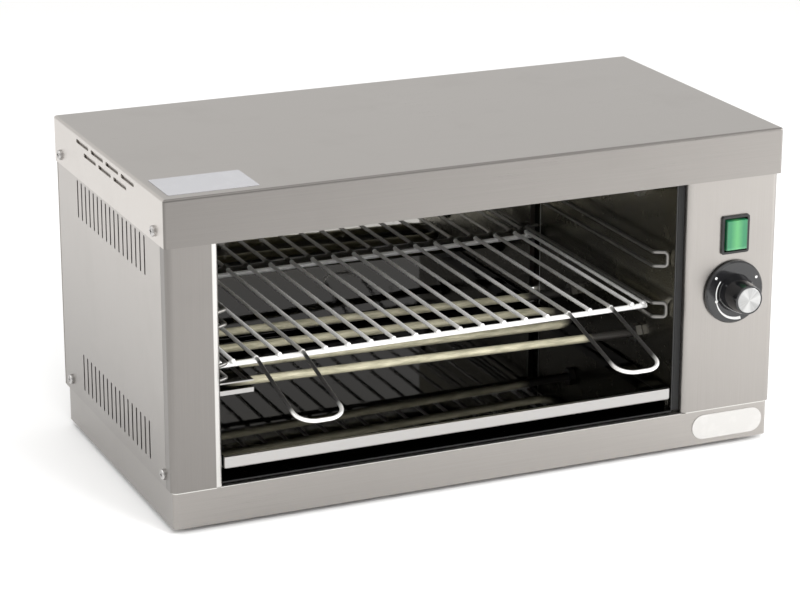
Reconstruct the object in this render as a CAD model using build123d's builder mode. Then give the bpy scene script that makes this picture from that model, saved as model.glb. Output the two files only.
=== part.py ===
from build123d import *
from math import radians, tan
import os

# Countertop cheese melter: an open-fronted stainless steel toaster with a wire rack
# on two pairs of wire runners, heating rods above and below it, and a crumb tray.
# Millimetres. X runs to the right, Y to the back, Z up. The origin is in the middle
# of the footprint, from the rack handles to the cord gland's tail, on the worktop.

os.makedirs("parts", exist_ok=True)

# ---------------------------------------------------------------- driving sizes
WIDTH = 500.0
DEPTH = 260.0
BODY_HEIGHT = 250.0
FOOT_HEIGHT = 5.0
SHEET = 1.2
LINER = 1.0
SEAM = 0.3
HANDLE_REACH = 52.0
KNOB_REACH = 24.5
GLAND_REACH = 9.0

# outer shell
HOOD_HEIGHT = 36.0
HOOD_BEND = 2.0
PLINTH_HEIGHT = 28.0
SHADOW_GAP = 0.6
POST_WIDTH = 41.0
CONTROL_WIDTH = 80.5
RETURN_DEPTH = 7.0
RETURN_BEND = 4.4
WRAP_DEPTH = 14.0
CORNER_BEND = 5.0
UPSTAND = 18.0
REAR_FLANGE = 14.0
SILL_DEPTH = 9.0
SILL_FLAT = 0.1
CUT_PAST = 1.0

# vents
LOUVRE_COUNT = 17
LOUVRE_PITCH = 9.9
LOUVRE_LENGTH = 30.0
LOUVRE_WIDTH = 2.6
LOUVRE_FORWARD = 1.5
LOUVRE_LOW = 54.5
LOUVRE_DROP = 54.0
SKIRT_SLOT_LENGTH = 29.5
SKIRT_SLOT_WIDTH = 3.0
SKIRT_SLOT_PITCH = 35.8
SKIRT_SLOT_COUNTS = (4, 3)
SKIRT_SLOT_DROP = 6.0
SKIRT_SLOT_STEP = 7.0
SKIRT_SLOT_BACKWARD = 3.0
BACK_SLOT_COUNT = 12
BACK_SLOT_PITCH = 30.0
BACK_SLOT_LENGTH = 20.0

# chamber
SEAL_WIDTH = 6.5
SEAL_DEPTH = 8.0
CHAMBER_BACK_GAP = 12.0
BACK_WALL_SLOT = 5.0
FLOOR_RISE = 1.0
RAIL_INSET = 20.0
RAIL_WIDTH = 22.0

# rack and its runners
RUNNER_WIRE = 3.0
RUNNER_STANDOFF = 11.0
RUNNER_GAP = 11.2
RUNNER_LOW = 104.4
RUNNER_RISE = 41.0
RUNNER_START = 16.5
RUNNER_SPLAY = 5.0
RUNNER_BACK_GAP = 3.5
RUNNER_WIRE_BEND = 3.0
WIRE_SEAT = 0.1
CROSSBAR = 4.0
RACK_WIRE = 3.0
RACK_FRONT = 38.0
RACK_BACK_GAP = 7.0
RACK_WIRE_COUNT = 19
RACK_SIDE_GAP = 10.3
RACK_OVERHANG = 3.5
CROSSBAR_OVERHANG = 3.5
RACK_LIFT = 0.3
WELD_SINK = 0.4
HANDLE_WIRE_COUNTS = (2, 4)
HANDLE_DROP = 21.5
HANDLE_KNEE = 10.0
HANDLE_GRIP_BEND = 14.0

# crumb tray
TRAY_SHEET = 1.0
TRAY_BEND = 2.0
TRAY_SIDE_GAP = 2.0
TRAY_RISE = 12.0
TRAY_HEIGHT = 9.5
TRAY_SETBACK = 5.0
TRAY_BACK_GAP = 5.0
TRAY_HEM = 3.0
TRAY_LEDGE = 9.0
TRAY_RAIL_SETBACK = 7.0

# heating rods
ROD = 6.4
ROD_FIRST = 62.0
ROD_BACK_GAP = 73.5
ROD_LOW = 78.0
ROD_DROP = 17.0
ROD_PASSES = 4
ROD_LEFT_GAP = 17.0
ROD_RIGHT_GAP = 36.0
ROD_TAIL = 16.0
ROD_STRAIGHT = 12.0
ROD_KINK = 50.0
ROD_LIFT = 7.0
HOLDER_REACH = 42.7
HOLDER_LIP = 3.5
HOLDER_SLACK = 1.0
HOLDER_MARGIN = 12.0
NUT_ACROSS = 13.0
NUT_THICK = 5.0
INSULATOR = 8.5
INSULATOR_LENGTH = 9.0
INSULATOR_TAPER = 6.0
TERMINAL = 3.0
TERMINAL_LENGTH = 7.0
TERMINAL_BLADE = (0.8, 6.3)

# controls
KNOB_INSET = 39.0
KNOB_HEIGHT = 123.5
KNOB_SKIRT = 50.0
KNOB_SKIRT_THICK = 3.0
KNOB_BEVEL = 1.2
KNOB_ROOT = 30.0
KNOB_TIP = 23.0
KNOB_POCKET = 19.0
KNOB_SHAFT_COVER = 6.0
KNOB_TIP_ROUND = 0.8
KNOB_CAP = 20.0
KNOB_CAP_THICK = 1.5
KNOB_CAP_PROUD = 0.3
KNOB_FLOAT = 0.8
SHAFT = 6.0
SHAFT_PLAY = 0.05
SHAFT_FLAT = 1.5
SHAFT_DEPTH = 14.0
BUSH = 10.0
BUSH_PROUD = 6.0
BUSH_NUT = 14.0
BUSH_NUT_THICK = 3.0
TIMER_SIZE = 44.0
TIMER_DEPTH = 30.0
TIMER_CORNER = 4.0
SWITCH_INSET = 39.0
SWITCH_RISE = 46.0
SWITCH_BEZEL = (24.2, 30.4)
SWITCH_BODY = (21.4, 28.0)
SWITCH_CORNER = 2.0
SWITCH_FLANGE = 2.0
SWITCH_DEPTH = 24.0
ROCKER = (18.2, 23.3)
ROCKER_TILT = 12.0
ROCKER_PLAY = 0.8
ROCKER_SWING = 1.6
ROCKER_PROUD = 2.1
ROCKER_ROUND = 0.6
ROCKER_PIVOT_DEPTH = 2.5
ROCKER_BACK = 2.0
ROCKER_PIN = 3.0
ROCKER_PIN_SHY = 0.3

# fasteners
SCREW = 4.0
SCREW_HEAD = 8.0
SCREW_HEAD_THICK = 2.4
SCREW_LENGTH = 7.0
SCREW_RECESS = 1.0
SCREW_PLAY = 0.15
BACK_SCREW_LOW = 52.0
BACK_SCREW_DROP = 50.0
SIDE_SCREW_HEIGHT = 38.4
SIDE_SCREW_INSETS = (18.5, 19.0)
HOOD_SCREW_DROP = 28.0
HOOD_SCREW_INSETS = (22.0, 16.0)

# feet, plates and gland
FOOT = 22.0
FOOT_TAPER = 4.0
FOOT_CHAMFER = 0.8
FOOT_PEG = 1.0
FOOT_INSET = 32.0
LABEL = (69.0, 43.5)
LABEL_CORNER = (7.0, 10.0)
LABEL_THICK = 0.3
LABEL_ROUND = 1.2
BADGE = (62.0, 20.0)
BADGE_THICK = 0.8
GLAND_BODY = 16.0
GLAND_FLANGE = 24.0
GLAND_BORE = 9.0
GLAND_INSET = 40.0
GLAND_HEIGHT = 60.0
GLAND_LIP = 3.0
GLAND_SNOUT = 14.0
GLAND_DEPTH = 12.0
GLAND_NUT = 22.0
GLAND_NUT_THICK = 4.0
BLOCK = (36.0, 20.0, 18.0)
BLOCK_WAYS = 3
BLOCK_BACK_GAP = 40.0
LEAD = 2.5
LEAD_BEND = 6.0
LEAD_RUN = 18.0
LEAD_EXIT = 14.4
LEAD_SPLIT = 1.6

# ---------------------------------------------------------------- derived places
LEFT = -WIDTH / 2
RIGHT = WIDTH / 2
FRONT = HANDLE_REACH - (HANDLE_REACH + DEPTH + GLAND_REACH) / 2
BACK = FRONT + DEPTH
BASE = FOOT_HEIGHT
TOP = BASE + BODY_HEIGHT
HOOD_BOTTOM = TOP - HOOD_HEIGHT
PLINTH_TOP = BASE + PLINTH_HEIGHT
PANEL_BOTTOM = PLINTH_TOP + SHADOW_GAP
SKIN = SHEET + SEAM
PANEL_INNER = SKIN + SHEET
TUB_INSET = PANEL_INNER + SEAM
PANEL_TOP = TOP - SKIN
OPEN_LEFT = LEFT + POST_WIDTH
OPEN_RIGHT = RIGHT - CONTROL_WIDTH
OPEN_TOP = HOOD_BOTTOM
CHAMBER_LEFT = OPEN_LEFT
CHAMBER_RIGHT = OPEN_RIGHT - SEAL_WIDTH
CHAMBER_FRONT = FRONT + RETURN_DEPTH + SEAM
CHAMBER_BACK = BACK - CHAMBER_BACK_GAP
FLOOR_BOTTOM = PLINTH_TOP + FLOOR_RISE
FLOOR_TOP = FLOOR_BOTTOM + LINER
CEILING_BOTTOM = OPEN_TOP
LINER_BACK = CHAMBER_BACK + LINER + SEAM
TUB_TOP = PLINTH_TOP + UPSTAND


def block(x, y, z, mode=Mode.ADD):
    """Box spanning the given (low, high) pairs along X, Y and Z."""
    centre = ((x[0] + x[1]) / 2, (y[0] + y[1]) / 2, (z[0] + z[1]) / 2)
    with Locations(centre):
        Box(x[1] - x[0], y[1] - y[0], z[1] - z[0], mode=mode)


def save(builder, name):
    """Label a finished piece and write it as one STEP file."""
    builder.part.label = name
    export_step(builder.part, f"parts/{name}.step")


def facing(x, y, z, direction):
    """Plane at a point whose normal looks along direction and whose Y is up."""
    across = Vector(0, 0, 1).cross(Vector(*direction))
    return Plane(origin=(x, y, z), x_dir=across, z_dir=direction)


# ---------------------------------------------------------------- base tub and feet
tub_x = (LEFT + TUB_INSET, RIGHT - TUB_INSET)
tub_y = (FRONT + TUB_INSET, BACK - TUB_INSET)
tub_bend = CORNER_BEND - SHEET - SEAM
mouth_x = (OPEN_LEFT - RETURN_BEND - SEAM, OPEN_RIGHT + RETURN_BEND + SEAM)
side_screw_z = BASE + SIDE_SCREW_HEIGHT
side_screw_y = (FRONT + SIDE_SCREW_INSETS[0], BACK - SIDE_SCREW_INSETS[1])
foot_places = [
    ("front_left", LEFT + FOOT_INSET, FRONT + FOOT_INSET),
    ("front_right", RIGHT - FOOT_INSET, FRONT + FOOT_INSET),
    ("back_left", LEFT + FOOT_INSET, BACK - FOOT_INSET),
    ("back_right", RIGHT - FOOT_INSET, BACK - FOOT_INSET),
]

with BuildPart() as base_tub:
    block(tub_x, tub_y, (BASE, TUB_TOP))
    fillet(base_tub.edges().filter_by(Axis.Z), tub_bend)
    inner_x = (tub_x[0] + SHEET, tub_x[1] - SHEET)
    inner_y = (tub_y[0] + SHEET, tub_y[1] - SHEET)
    block(inner_x, inner_y, (BASE + SHEET, TUB_TOP), Mode.SUBTRACT)
    # mouth under the chamber opening, with the bright folded sill along its edge
    block(mouth_x, (tub_y[0], tub_y[0] + SHEET), (PLINTH_TOP, TUB_TOP), Mode.SUBTRACT)
    block(mouth_x, (tub_y[0], tub_y[0] + SILL_DEPTH), (PLINTH_TOP - SHEET, PLINTH_TOP))
    sill_edge = base_tub.edges().filter_by(Axis.X).filter_by_position(Axis.Z, PLINTH_TOP, PLINTH_TOP)
    fillet(sill_edge.sort_by(Axis.Y)[0], SHEET - SILL_FLAT)
    with Locations(*[(x, y, BASE + SHEET / 2) for _, x, y in foot_places]):
        Cylinder(SCREW / 2 + SCREW_PLAY, 2 * SHEET, mode=Mode.SUBTRACT)
    for screw_y in side_screw_y:
        for wall_x in (tub_x[0], tub_x[1]):
            with Locations(facing(wall_x, screw_y, side_screw_z, (1, 0, 0))):
                Cylinder(SCREW / 2 + SCREW_PLAY, 4 * SHEET, mode=Mode.SUBTRACT)
save(base_tub, "base_tub")

for side, foot_x, foot_y in foot_places:
    with BuildPart() as foot:
        with BuildSketch(Plane.XY):
            with Locations((foot_x, foot_y)):
                Circle(FOOT / 2)
        extrude(amount=FOOT_HEIGHT - SEAM, taper=-FOOT_TAPER)
        chamfer(foot.faces().sort_by(Axis.Z)[0].edges(), FOOT_CHAMFER)
        with Locations((foot_x, foot_y, BASE)):
            Cylinder(SCREW / 2, 2 * FOOT_PEG)
    save(foot, f"foot_{side}")

for side, rail_x in (("left", CHAMBER_LEFT + RAIL_INSET), ("right", CHAMBER_RIGHT - RAIL_INSET)):
    web = (rail_x - RAIL_WIDTH / 2, rail_x + RAIL_WIDTH / 2)
    rail_y = (CHAMBER_FRONT + RAIL_INSET, CHAMBER_BACK - RAIL_INSET)
    rail_z = (BASE + SHEET, FLOOR_BOTTOM - SEAM)
    with BuildPart() as floor_rail:
        block(web, rail_y, rail_z)
        inside = (web[0] + SHEET, web[1] - SHEET)
        block(inside, rail_y, (rail_z[0], rail_z[1] - SHEET), Mode.SUBTRACT)
        fillet(floor_rail.edges().filter_by(Axis.Y).group_by(Axis.Z)[-1], SHEET)
    save(floor_rail, f"floor_rail_{side}")

# ---------------------------------------------------------------- outer shell
frame_x = (LEFT + SKIN, RIGHT - SKIN)
frame_y = (FRONT + SKIN, FRONT + WRAP_DEPTH)
frame_z = (PANEL_BOTTOM, PANEL_TOP)
knob_z = BASE + KNOB_HEIGHT
knob_x = RIGHT - KNOB_INSET
switch_x = RIGHT - SWITCH_INSET
switch_z = knob_z + SWITCH_RISE
switch_cutout = (SWITCH_BODY[0] + 2 * SEAM, SWITCH_BODY[1] + 2 * SEAM)


def folded_front(inset, depth_end, low_z, high_z, mouth_grow):
    """Solid front block with rounded corners and a rounded mouth, inset on every side."""
    x = (frame_x[0] + inset, frame_x[1] - inset)
    y = (frame_y[0] + inset, depth_end)
    mouth = (OPEN_LEFT - mouth_grow, OPEN_RIGHT + mouth_grow)
    with BuildPart() as form:
        block(x, y, (low_z, high_z))
        block(mouth, (y[0], y[1]), (low_z, OPEN_TOP + mouth_grow), Mode.SUBTRACT)
        front_face = form.faces().filter_by(Axis.Y).sort_by(Axis.Y)[0]
        uprights = front_face.edges().filter_by(Axis.Z).sort_by(Axis.X)
        lintel = front_face.edges().filter_by(Axis.X).sort_by(Axis.Z)[-2]
        fillet([uprights[1], uprights[2], lintel], RETURN_BEND - inset)
        corners = form.edges().filter_by(Axis.Z).group_by(Axis.Y)[0].sort_by(Axis.X)[0::3]
        fillet(corners, CORNER_BEND - inset)
    return form.part


with BuildPart() as front_frame:
    add(folded_front(0, frame_y[1], frame_z[0], frame_z[1], 0))
    past_z = (frame_z[0] - CUT_PAST, frame_z[1] + CUT_PAST)
    hollow = folded_front(SHEET, frame_y[1] + CUT_PAST, past_z[0], past_z[1], SHEET)
    add(hollow, mode=Mode.SUBTRACT)
    # the mouth's return flanges stop short of the side wraps
    past_y = (FRONT + RETURN_DEPTH, frame_y[1] + CUT_PAST)
    past_mouth = (OPEN_LEFT - SHEET - CUT_PAST, OPEN_RIGHT + SHEET + CUT_PAST)
    block(past_mouth, past_y, past_z, Mode.SUBTRACT)
    with BuildSketch(facing(0, FRONT + SKIN, 0, (0, -1, 0))):
        with Locations((knob_x, knob_z)):
            Circle(BUSH / 2 + SCREW_PLAY)
        with Locations((switch_x, switch_z)):
            Rectangle(*switch_cutout)
    extrude(amount=-SHEET * 2, mode=Mode.SUBTRACT)
save(front_frame, "front_frame")

# ---------------------------------------------------------------- side and back panels
side_y = (FRONT + WRAP_DEPTH + SEAM, BACK - SKIN)
panel_z = (PANEL_BOTTOM, PANEL_TOP)
middle_y = (FRONT + BACK) / 2
louvre_y = middle_y - LOUVRE_FORWARD
louvre_rows = (BASE + LOUVRE_LOW, TOP - LOUVRE_DROP)
hood_screw_z = TOP - HOOD_SCREW_DROP
hood_screw_y = (FRONT + HOOD_SCREW_INSETS[0], BACK - HOOD_SCREW_INSETS[1])
back_screw_x = (LEFT + SKIN + REAR_FLANGE / 2, RIGHT - SKIN - REAR_FLANGE / 2)
back_screw_ends = (BASE + BACK_SCREW_LOW, TOP - BACK_SCREW_DROP)
back_screw_z = [back_screw_ends[0], sum(back_screw_ends) / 2, back_screw_ends[1]]
screw_hole = SCREW / 2 + SCREW_PLAY

for side, out in (("left", -1), ("right", 1)):
    outer_x = out * (WIDTH / 2 - SKIN)
    inner_x = outer_x - out * SHEET
    flange_x = outer_x - out * REAR_FLANGE
    with BuildPart() as side_panel:
        block(sorted((outer_x, inner_x)), side_y, panel_z)
        block(sorted((outer_x, flange_x)), (side_y[1] - SHEET, side_y[1]), panel_z)
        rear_edge = side_panel.edges().filter_by(Axis.Z).group_by(Axis.Y)[-1]
        fillet(rear_edge.sort_by(Axis.X)[0 if out < 0 else -1], SHEET)
        with BuildSketch(facing(outer_x, louvre_y, 0, (out, 0, 0))):
            for group_z in louvre_rows:
                with Locations((0, group_z)):
                    with GridLocations(LOUVRE_PITCH, 1, LOUVRE_COUNT, 1):
                        SlotOverall(LOUVRE_LENGTH, LOUVRE_WIDTH, rotation=90)
        extrude(amount=-2 * SHEET, mode=Mode.SUBTRACT)
        for screw_y in side_screw_y:
            with Locations(facing(outer_x, screw_y, side_screw_z, (out, 0, 0))):
                Cylinder(screw_hole, 4 * SHEET, mode=Mode.SUBTRACT)
        for screw_y in hood_screw_y:
            with Locations(facing(outer_x, screw_y, hood_screw_z, (out, 0, 0))):
                Cylinder(screw_hole, 4 * SHEET, mode=Mode.SUBTRACT)
        for screw_z in back_screw_z:
            place = facing(outer_x - out * REAR_FLANGE / 2, side_y[1], screw_z, (0, 1, 0))
            with Locations(place):
                Cylinder(screw_hole, 4 * SHEET, mode=Mode.SUBTRACT)
    save(side_panel, f"side_panel_{side}")

gland_x = RIGHT - GLAND_INSET
gland_z = BASE + GLAND_HEIGHT
with BuildPart() as back_panel:
    block((LEFT + SKIN, RIGHT - SKIN), (BACK - SHEET, BACK), (PANEL_BOTTOM, HOOD_BOTTOM - SEAM))
    with BuildSketch(facing(0, BACK, 0, (0, 1, 0))):
        for row_z in (louvre_rows[0], louvre_rows[1] - BACK_SLOT_LENGTH):
            with Locations((0, row_z)):
                with GridLocations(BACK_SLOT_PITCH, 1, BACK_SLOT_COUNT, 1):
                    SlotOverall(BACK_SLOT_LENGTH, SKIRT_SLOT_WIDTH)
    extrude(amount=-2 * SHEET, mode=Mode.SUBTRACT)
    for screw_x in back_screw_x:
        for screw_z in back_screw_z:
            with Locations(facing(screw_x, BACK, screw_z, (0, 1, 0))):
                Cylinder(screw_hole, 4 * SHEET, mode=Mode.SUBTRACT)
    with Locations(facing(gland_x, BACK, gland_z, (0, 1, 0))):
        Cylinder(GLAND_BODY / 2 + SCREW_PLAY, 4 * SHEET, mode=Mode.SUBTRACT)
save(back_panel, "back_panel")

# ---------------------------------------------------------------- hood and plates
with BuildPart() as hood_cover:
    block((LEFT, RIGHT), (FRONT, BACK), (HOOD_BOTTOM, TOP))
    fillet(hood_cover.edges().filter_by(Axis.Z), HOOD_BEND)
    fillet(hood_cover.faces().sort_by(Axis.Z)[-1].edges(), HOOD_BEND)
    skirt_x = (LEFT + SHEET, RIGHT - SHEET)
    skirt_y = (FRONT + SHEET, BACK - SHEET)
    block(skirt_x, skirt_y, (HOOD_BOTTOM, TOP - SHEET), Mode.SUBTRACT)
    for out in (-1, 1):
        with BuildSketch(facing(out * WIDTH / 2, middle_y + SKIRT_SLOT_BACKWARD, TOP, (out, 0, 0))):
            for row, count in enumerate(SKIRT_SLOT_COUNTS):
                with Locations((0, -SKIRT_SLOT_DROP - row * SKIRT_SLOT_STEP)):
                    with GridLocations(SKIRT_SLOT_PITCH, 1, count, 1):
                        SlotOverall(SKIRT_SLOT_LENGTH, SKIRT_SLOT_WIDTH)
        extrude(amount=-2 * SHEET, mode=Mode.SUBTRACT)
        for screw_y in hood_screw_y:
            with Locations(facing(out * WIDTH / 2, screw_y, hood_screw_z, (out, 0, 0))):
                Cylinder(screw_hole, 4 * SHEET, mode=Mode.SUBTRACT)
save(hood_cover, "hood_cover")

label_centre = (LEFT + LABEL_CORNER[0] + LABEL[0] / 2, FRONT + LABEL_CORNER[1] + LABEL[1] / 2)
with BuildPart() as rating_label:
    with BuildSketch(Plane.XY.offset(TOP)):
        with Locations(label_centre):
            RectangleRounded(*LABEL, LABEL_ROUND)
    extrude(amount=LABEL_THICK)
save(rating_label, "blank_label")

with BuildPart() as badge:
    with BuildSketch(facing(switch_x, tub_y[0], BASE + PLINTH_HEIGHT / 2, (0, -1, 0))):
        SlotOverall(*BADGE)
    extrude(amount=BADGE_THICK)
    fillet(badge.faces().sort_by(Axis.Y)[0].edges(), BADGE_THICK / 2)
save(badge, "blank_badge")

# ---------------------------------------------------------------- chamber liner
liner_x = (CHAMBER_LEFT - LINER, CHAMBER_RIGHT + LINER)
liner_y = (CHAMBER_FRONT, LINER_BACK)
wall_z = (FLOOR_TOP + SEAM, CEILING_BOTTOM - SEAM)
rod_low_z = BASE + ROD_LOW
rod_high_z = CEILING_BOTTOM - ROD_DROP
rod_ends = (FRONT + ROD_FIRST, CHAMBER_BACK - ROD_BACK_GAP)
rod_pitch = (rod_ends[1] - rod_ends[0]) / (ROD_PASSES - 1)
rod_y = [rod_ends[0] + pass_number * rod_pitch for pass_number in range(ROD_PASSES)]

with BuildPart() as chamber_floor:
    block(liner_x, liner_y, (FLOOR_BOTTOM, FLOOR_TOP))
save(chamber_floor, "chamber_floor")

with BuildPart() as chamber_ceiling:
    block(liner_x, liner_y, (CEILING_BOTTOM, CEILING_BOTTOM + LINER))
save(chamber_ceiling, "chamber_ceiling")

with BuildPart() as chamber_back:
    back_x = (CHAMBER_LEFT + BACK_WALL_SLOT, CHAMBER_RIGHT - BACK_WALL_SLOT)
    block(back_x, (CHAMBER_BACK, CHAMBER_BACK + LINER), wall_z)
save(chamber_back, "chamber_back_wall")

with BuildPart() as chamber_left:
    block((liner_x[0], CHAMBER_LEFT), liner_y, wall_z)
save(chamber_left, "chamber_wall_left")

with BuildPart() as chamber_right:
    block((CHAMBER_RIGHT, liner_x[1]), liner_y, wall_z)
    for rod_z in (rod_low_z, rod_high_z):
        for tail_y in (rod_y[0], rod_y[-1]):
            with Locations(facing(CHAMBER_RIGHT, tail_y, rod_z, (1, 0, 0))):
                Cylinder(ROD / 2 + SEAM, 4 * LINER, mode=Mode.SUBTRACT)
save(chamber_right, "chamber_wall_right")

with BuildPart() as chamber_seal:
    seal_x = (liner_x[1] + SEAM, OPEN_RIGHT + SHEET)
    block(seal_x, (CHAMBER_FRONT, CHAMBER_FRONT + SEAL_DEPTH), wall_z)
save(chamber_seal, "chamber_seal")

# ---------------------------------------------------------------- rack runners
low_wire_z = BASE + RUNNER_LOW
wire_x = {"left": CHAMBER_LEFT + RUNNER_STANDOFF, "right": CHAMBER_RIGHT - RUNNER_STANDOFF}
wall_x = {"left": CHAMBER_LEFT, "right": CHAMBER_RIGHT}

for level, lift in (("lower", 0), ("upper", RUNNER_RISE)):
    for side, inward in (("left", 1), ("right", -1)):
        seat_x = wall_x[side] + inward * (RUNNER_WIRE / 2 + WIRE_SEAT)
        end_x = wall_x[side] + inward * WIRE_SEAT
        bottom = low_wire_z + lift
        top = bottom + RUNNER_GAP
        start = FRONT + RUNNER_START
        end = CHAMBER_BACK - RUNNER_BACK_GAP
        stations = [(end_x, end), (wire_x[side], end)]
        stations += [(wire_x[side], start + RUNNER_SPLAY), (seat_x, start)]
        route = [(x, y, bottom) for x, y in stations]
        route += [(x, y, top) for x, y in reversed(stations)]
        with BuildPart() as runner:
            with BuildLine():
                spine = FilletPolyline(*route, radius=RUNNER_WIRE_BEND)
            with BuildSketch(Plane(origin=spine @ 0, z_dir=spine % 0)):
                Circle(RUNNER_WIRE / 2)
            sweep()
        save(runner, f"rack_runner_{level}_{side}")

for side, inward in (("left", 1), ("right", -1)):
    foot_line = wall_x[side] + inward * SEAM
    ledge = sorted((foot_line, foot_line + inward * TRAY_LEDGE))
    leg = sorted((foot_line, foot_line + inward * LINER))
    rail_top = PLINTH_TOP + TRAY_RISE - SEAM
    rail_y = (CHAMBER_FRONT + TRAY_RAIL_SETBACK, CHAMBER_BACK - SEAM)
    with BuildPart() as tray_rail:
        block(leg, rail_y, (FLOOR_TOP + SEAM, rail_top))
        block(ledge, rail_y, (rail_top - LINER, rail_top))
    save(tray_rail, f"tray_rail_{side}")

# ---------------------------------------------------------------- heating rods
rod_left = CHAMBER_LEFT + ROD_LEFT_GAP
rod_right = CHAMBER_RIGHT - ROD_RIGHT_GAP
tail_end = liner_x[1] + ROD_TAIL
kink_x = CHAMBER_RIGHT - ROD_STRAIGHT


def lifted(x, rod_z):
    """Height of a rod's axis, level at its tails and rising towards the left."""
    return rod_z + ROD_LIFT * max(0, kink_x - x) / (kink_x - rod_left)


for level, rod_z in (("lower", rod_low_z), ("upper", rod_high_z)):
    turns = [(tail_end, rod_y[0]), (kink_x, rod_y[0])]
    for pass_number in range(1, ROD_PASSES):
        turn_x = rod_left if pass_number % 2 else rod_right
        turns += [(turn_x, rod_y[pass_number - 1]), (turn_x, rod_y[pass_number])]
    turns += [(kink_x, rod_y[-1]), (tail_end, rod_y[-1])]
    bends = [ROD_KINK] + [rod_pitch / 2 - WIRE_SEAT] * (2 * ROD_PASSES - 2) + [ROD_KINK]
    with BuildPart() as element:
        with BuildLine():
            route = [(x, y, lifted(x, rod_z)) for x, y in turns]
            spine = FilletPolyline(*route, radius=bends)
        with BuildSketch(Plane(origin=spine @ 0, z_dir=spine % 0)):
            Circle(ROD / 2)
        sweep()
    save(element, f"{level}_element")

    # channel on the left wall that holds the bends of the rod
    channel_x = (CHAMBER_LEFT + SEAM, CHAMBER_LEFT + HOLDER_REACH)
    channel_y = (rod_y[0] - HOLDER_MARGIN, rod_y[-1] + HOLDER_MARGIN)
    bend_z = lifted(rod_left, rod_z)
    inner_z = (bend_z - ROD / 2 - HOLDER_SLACK, bend_z + ROD / 2 + SEAM)
    with BuildPart() as holder:
        block(channel_x, channel_y, (inner_z[0] - LINER, inner_z[1] + LINER))
        inner_y = (channel_y[0] + LINER, channel_y[1] - LINER)
        hollow_x = (channel_x[0] + LINER, channel_x[1])
        block(hollow_x, inner_y, inner_z, Mode.SUBTRACT)
        # the front is open above a low lip
        window_z = (inner_z[0] - LINER + HOLDER_LIP, inner_z[1])
        block(hollow_x, (channel_y[0], inner_y[0]), window_z, Mode.SUBTRACT)
    save(holder, f"{level}_element_holder")

tails = [(tail_y, rod_z) for rod_z in (rod_low_z, rod_high_z) for tail_y in (rod_y[0], rod_y[-1])]
with BuildPart() as element_nuts:
    for nut_x in (CHAMBER_RIGHT - SEAM - NUT_THICK, liner_x[1] + SEAM):
        for tail_y, rod_z in tails:
            with BuildSketch(facing(nut_x, tail_y, rod_z, (1, 0, 0))):
                RegularPolygon(NUT_ACROSS / 2, 6, major_radius=False)
                Circle(ROD / 2 + SHAFT_PLAY, mode=Mode.SUBTRACT)
            extrude(amount=NUT_THICK)
save(element_nuts, "element_nuts")

with BuildPart() as insulators:
    for tail_y, rod_z in tails:
        with BuildSketch(facing(tail_end, tail_y, rod_z, (1, 0, 0))):
            Circle(INSULATOR / 2)
        extrude(amount=INSULATOR_LENGTH, taper=INSULATOR_TAPER)
save(insulators, "element_insulators")

with BuildPart() as terminals:
    for tail_y, rod_z in tails:
        with BuildSketch(facing(tail_end + INSULATOR_LENGTH, tail_y, rod_z, (1, 0, 0))):
            Circle(TERMINAL / 2)
        extrude(amount=TERMINAL_LENGTH)
save(terminals, "element_terminals")

# ---------------------------------------------------------------- wire rack
bar_z = low_wire_z + RUNNER_WIRE / 2 + RACK_LIFT + CROSSBAR / 2
deck_z = bar_z + (CROSSBAR + RACK_WIRE) / 2 - WELD_SINK
bar_y = (FRONT + RACK_FRONT, CHAMBER_BACK - RACK_BACK_GAP)
bar_x = (wire_x["left"] - CROSSBAR_OVERHANG, wire_x["right"] + CROSSBAR_OVERHANG)
deck_y = (bar_y[0] - RACK_OVERHANG, bar_y[1] + RACK_OVERHANG)
first_wire_x = wire_x["left"] + RACK_SIDE_GAP
last_wire_x = wire_x["right"] - RACK_SIDE_GAP
rack_pitch = (last_wire_x - first_wire_x) / (RACK_WIRE_COUNT - 1)
deck_x = [first_wire_x + number * rack_pitch for number in range(RACK_WIRE_COUNT)]
left_pair = [deck_x[number - 1] for number in HANDLE_WIRE_COUNTS]
right_pair = [deck_x[-number] for number in HANDLE_WIRE_COUNTS]


def wire(start, end, diameter, mode=Mode.ADD):
    """Straight round wire between two points."""
    run = Vector(*end) - Vector(*start)
    with Locations(Plane(origin=start, z_dir=run)):
        Cylinder(diameter / 2, run.length, align=(Align.CENTER, Align.CENTER, Align.MIN), mode=mode)


with BuildPart() as rack_grid:
    for x in [wire_x["left"], wire_x["right"], *deck_x]:
        if x not in left_pair + right_pair:
            wire((x, deck_y[0], deck_z), (x, deck_y[1], deck_z), RACK_WIRE)
    tips = rack_grid.edges().filter_by(GeomType.CIRCLE)
    fillet(tips, RACK_WIRE / 2 - WIRE_SEAT)
    for y in bar_y:
        wire((bar_x[0], y, bar_z), (bar_x[1], y, bar_z), CROSSBAR)
save(rack_grid, "rack_grid")

for side, pair in (("left", left_pair), ("right", right_pair)):
    grip_y = FRONT - HANDLE_REACH + RACK_WIRE / 2
    grip_z = deck_z - HANDLE_DROP
    route = [(pair[0], deck_y[1], deck_z), (pair[0], deck_y[0], deck_z), (pair[0], grip_y, grip_z)]
    route += [(pair[1], grip_y, grip_z), (pair[1], deck_y[0], deck_z), (pair[1], deck_y[1], deck_z)]
    bends = [HANDLE_KNEE, HANDLE_GRIP_BEND, HANDLE_GRIP_BEND, HANDLE_KNEE]
    with BuildPart() as rack_handle:
        with BuildLine():
            spine = FilletPolyline(*route, radius=bends)
        with BuildSketch(Plane(origin=spine @ 0, z_dir=spine % 0)):
            Circle(RACK_WIRE / 2)
        sweep()
        for y in bar_y:
            wire((bar_x[0], y, bar_z), (bar_x[1], y, bar_z), CROSSBAR, Mode.SUBTRACT)
    save(rack_handle, f"rack_handle_{side}")

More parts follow.
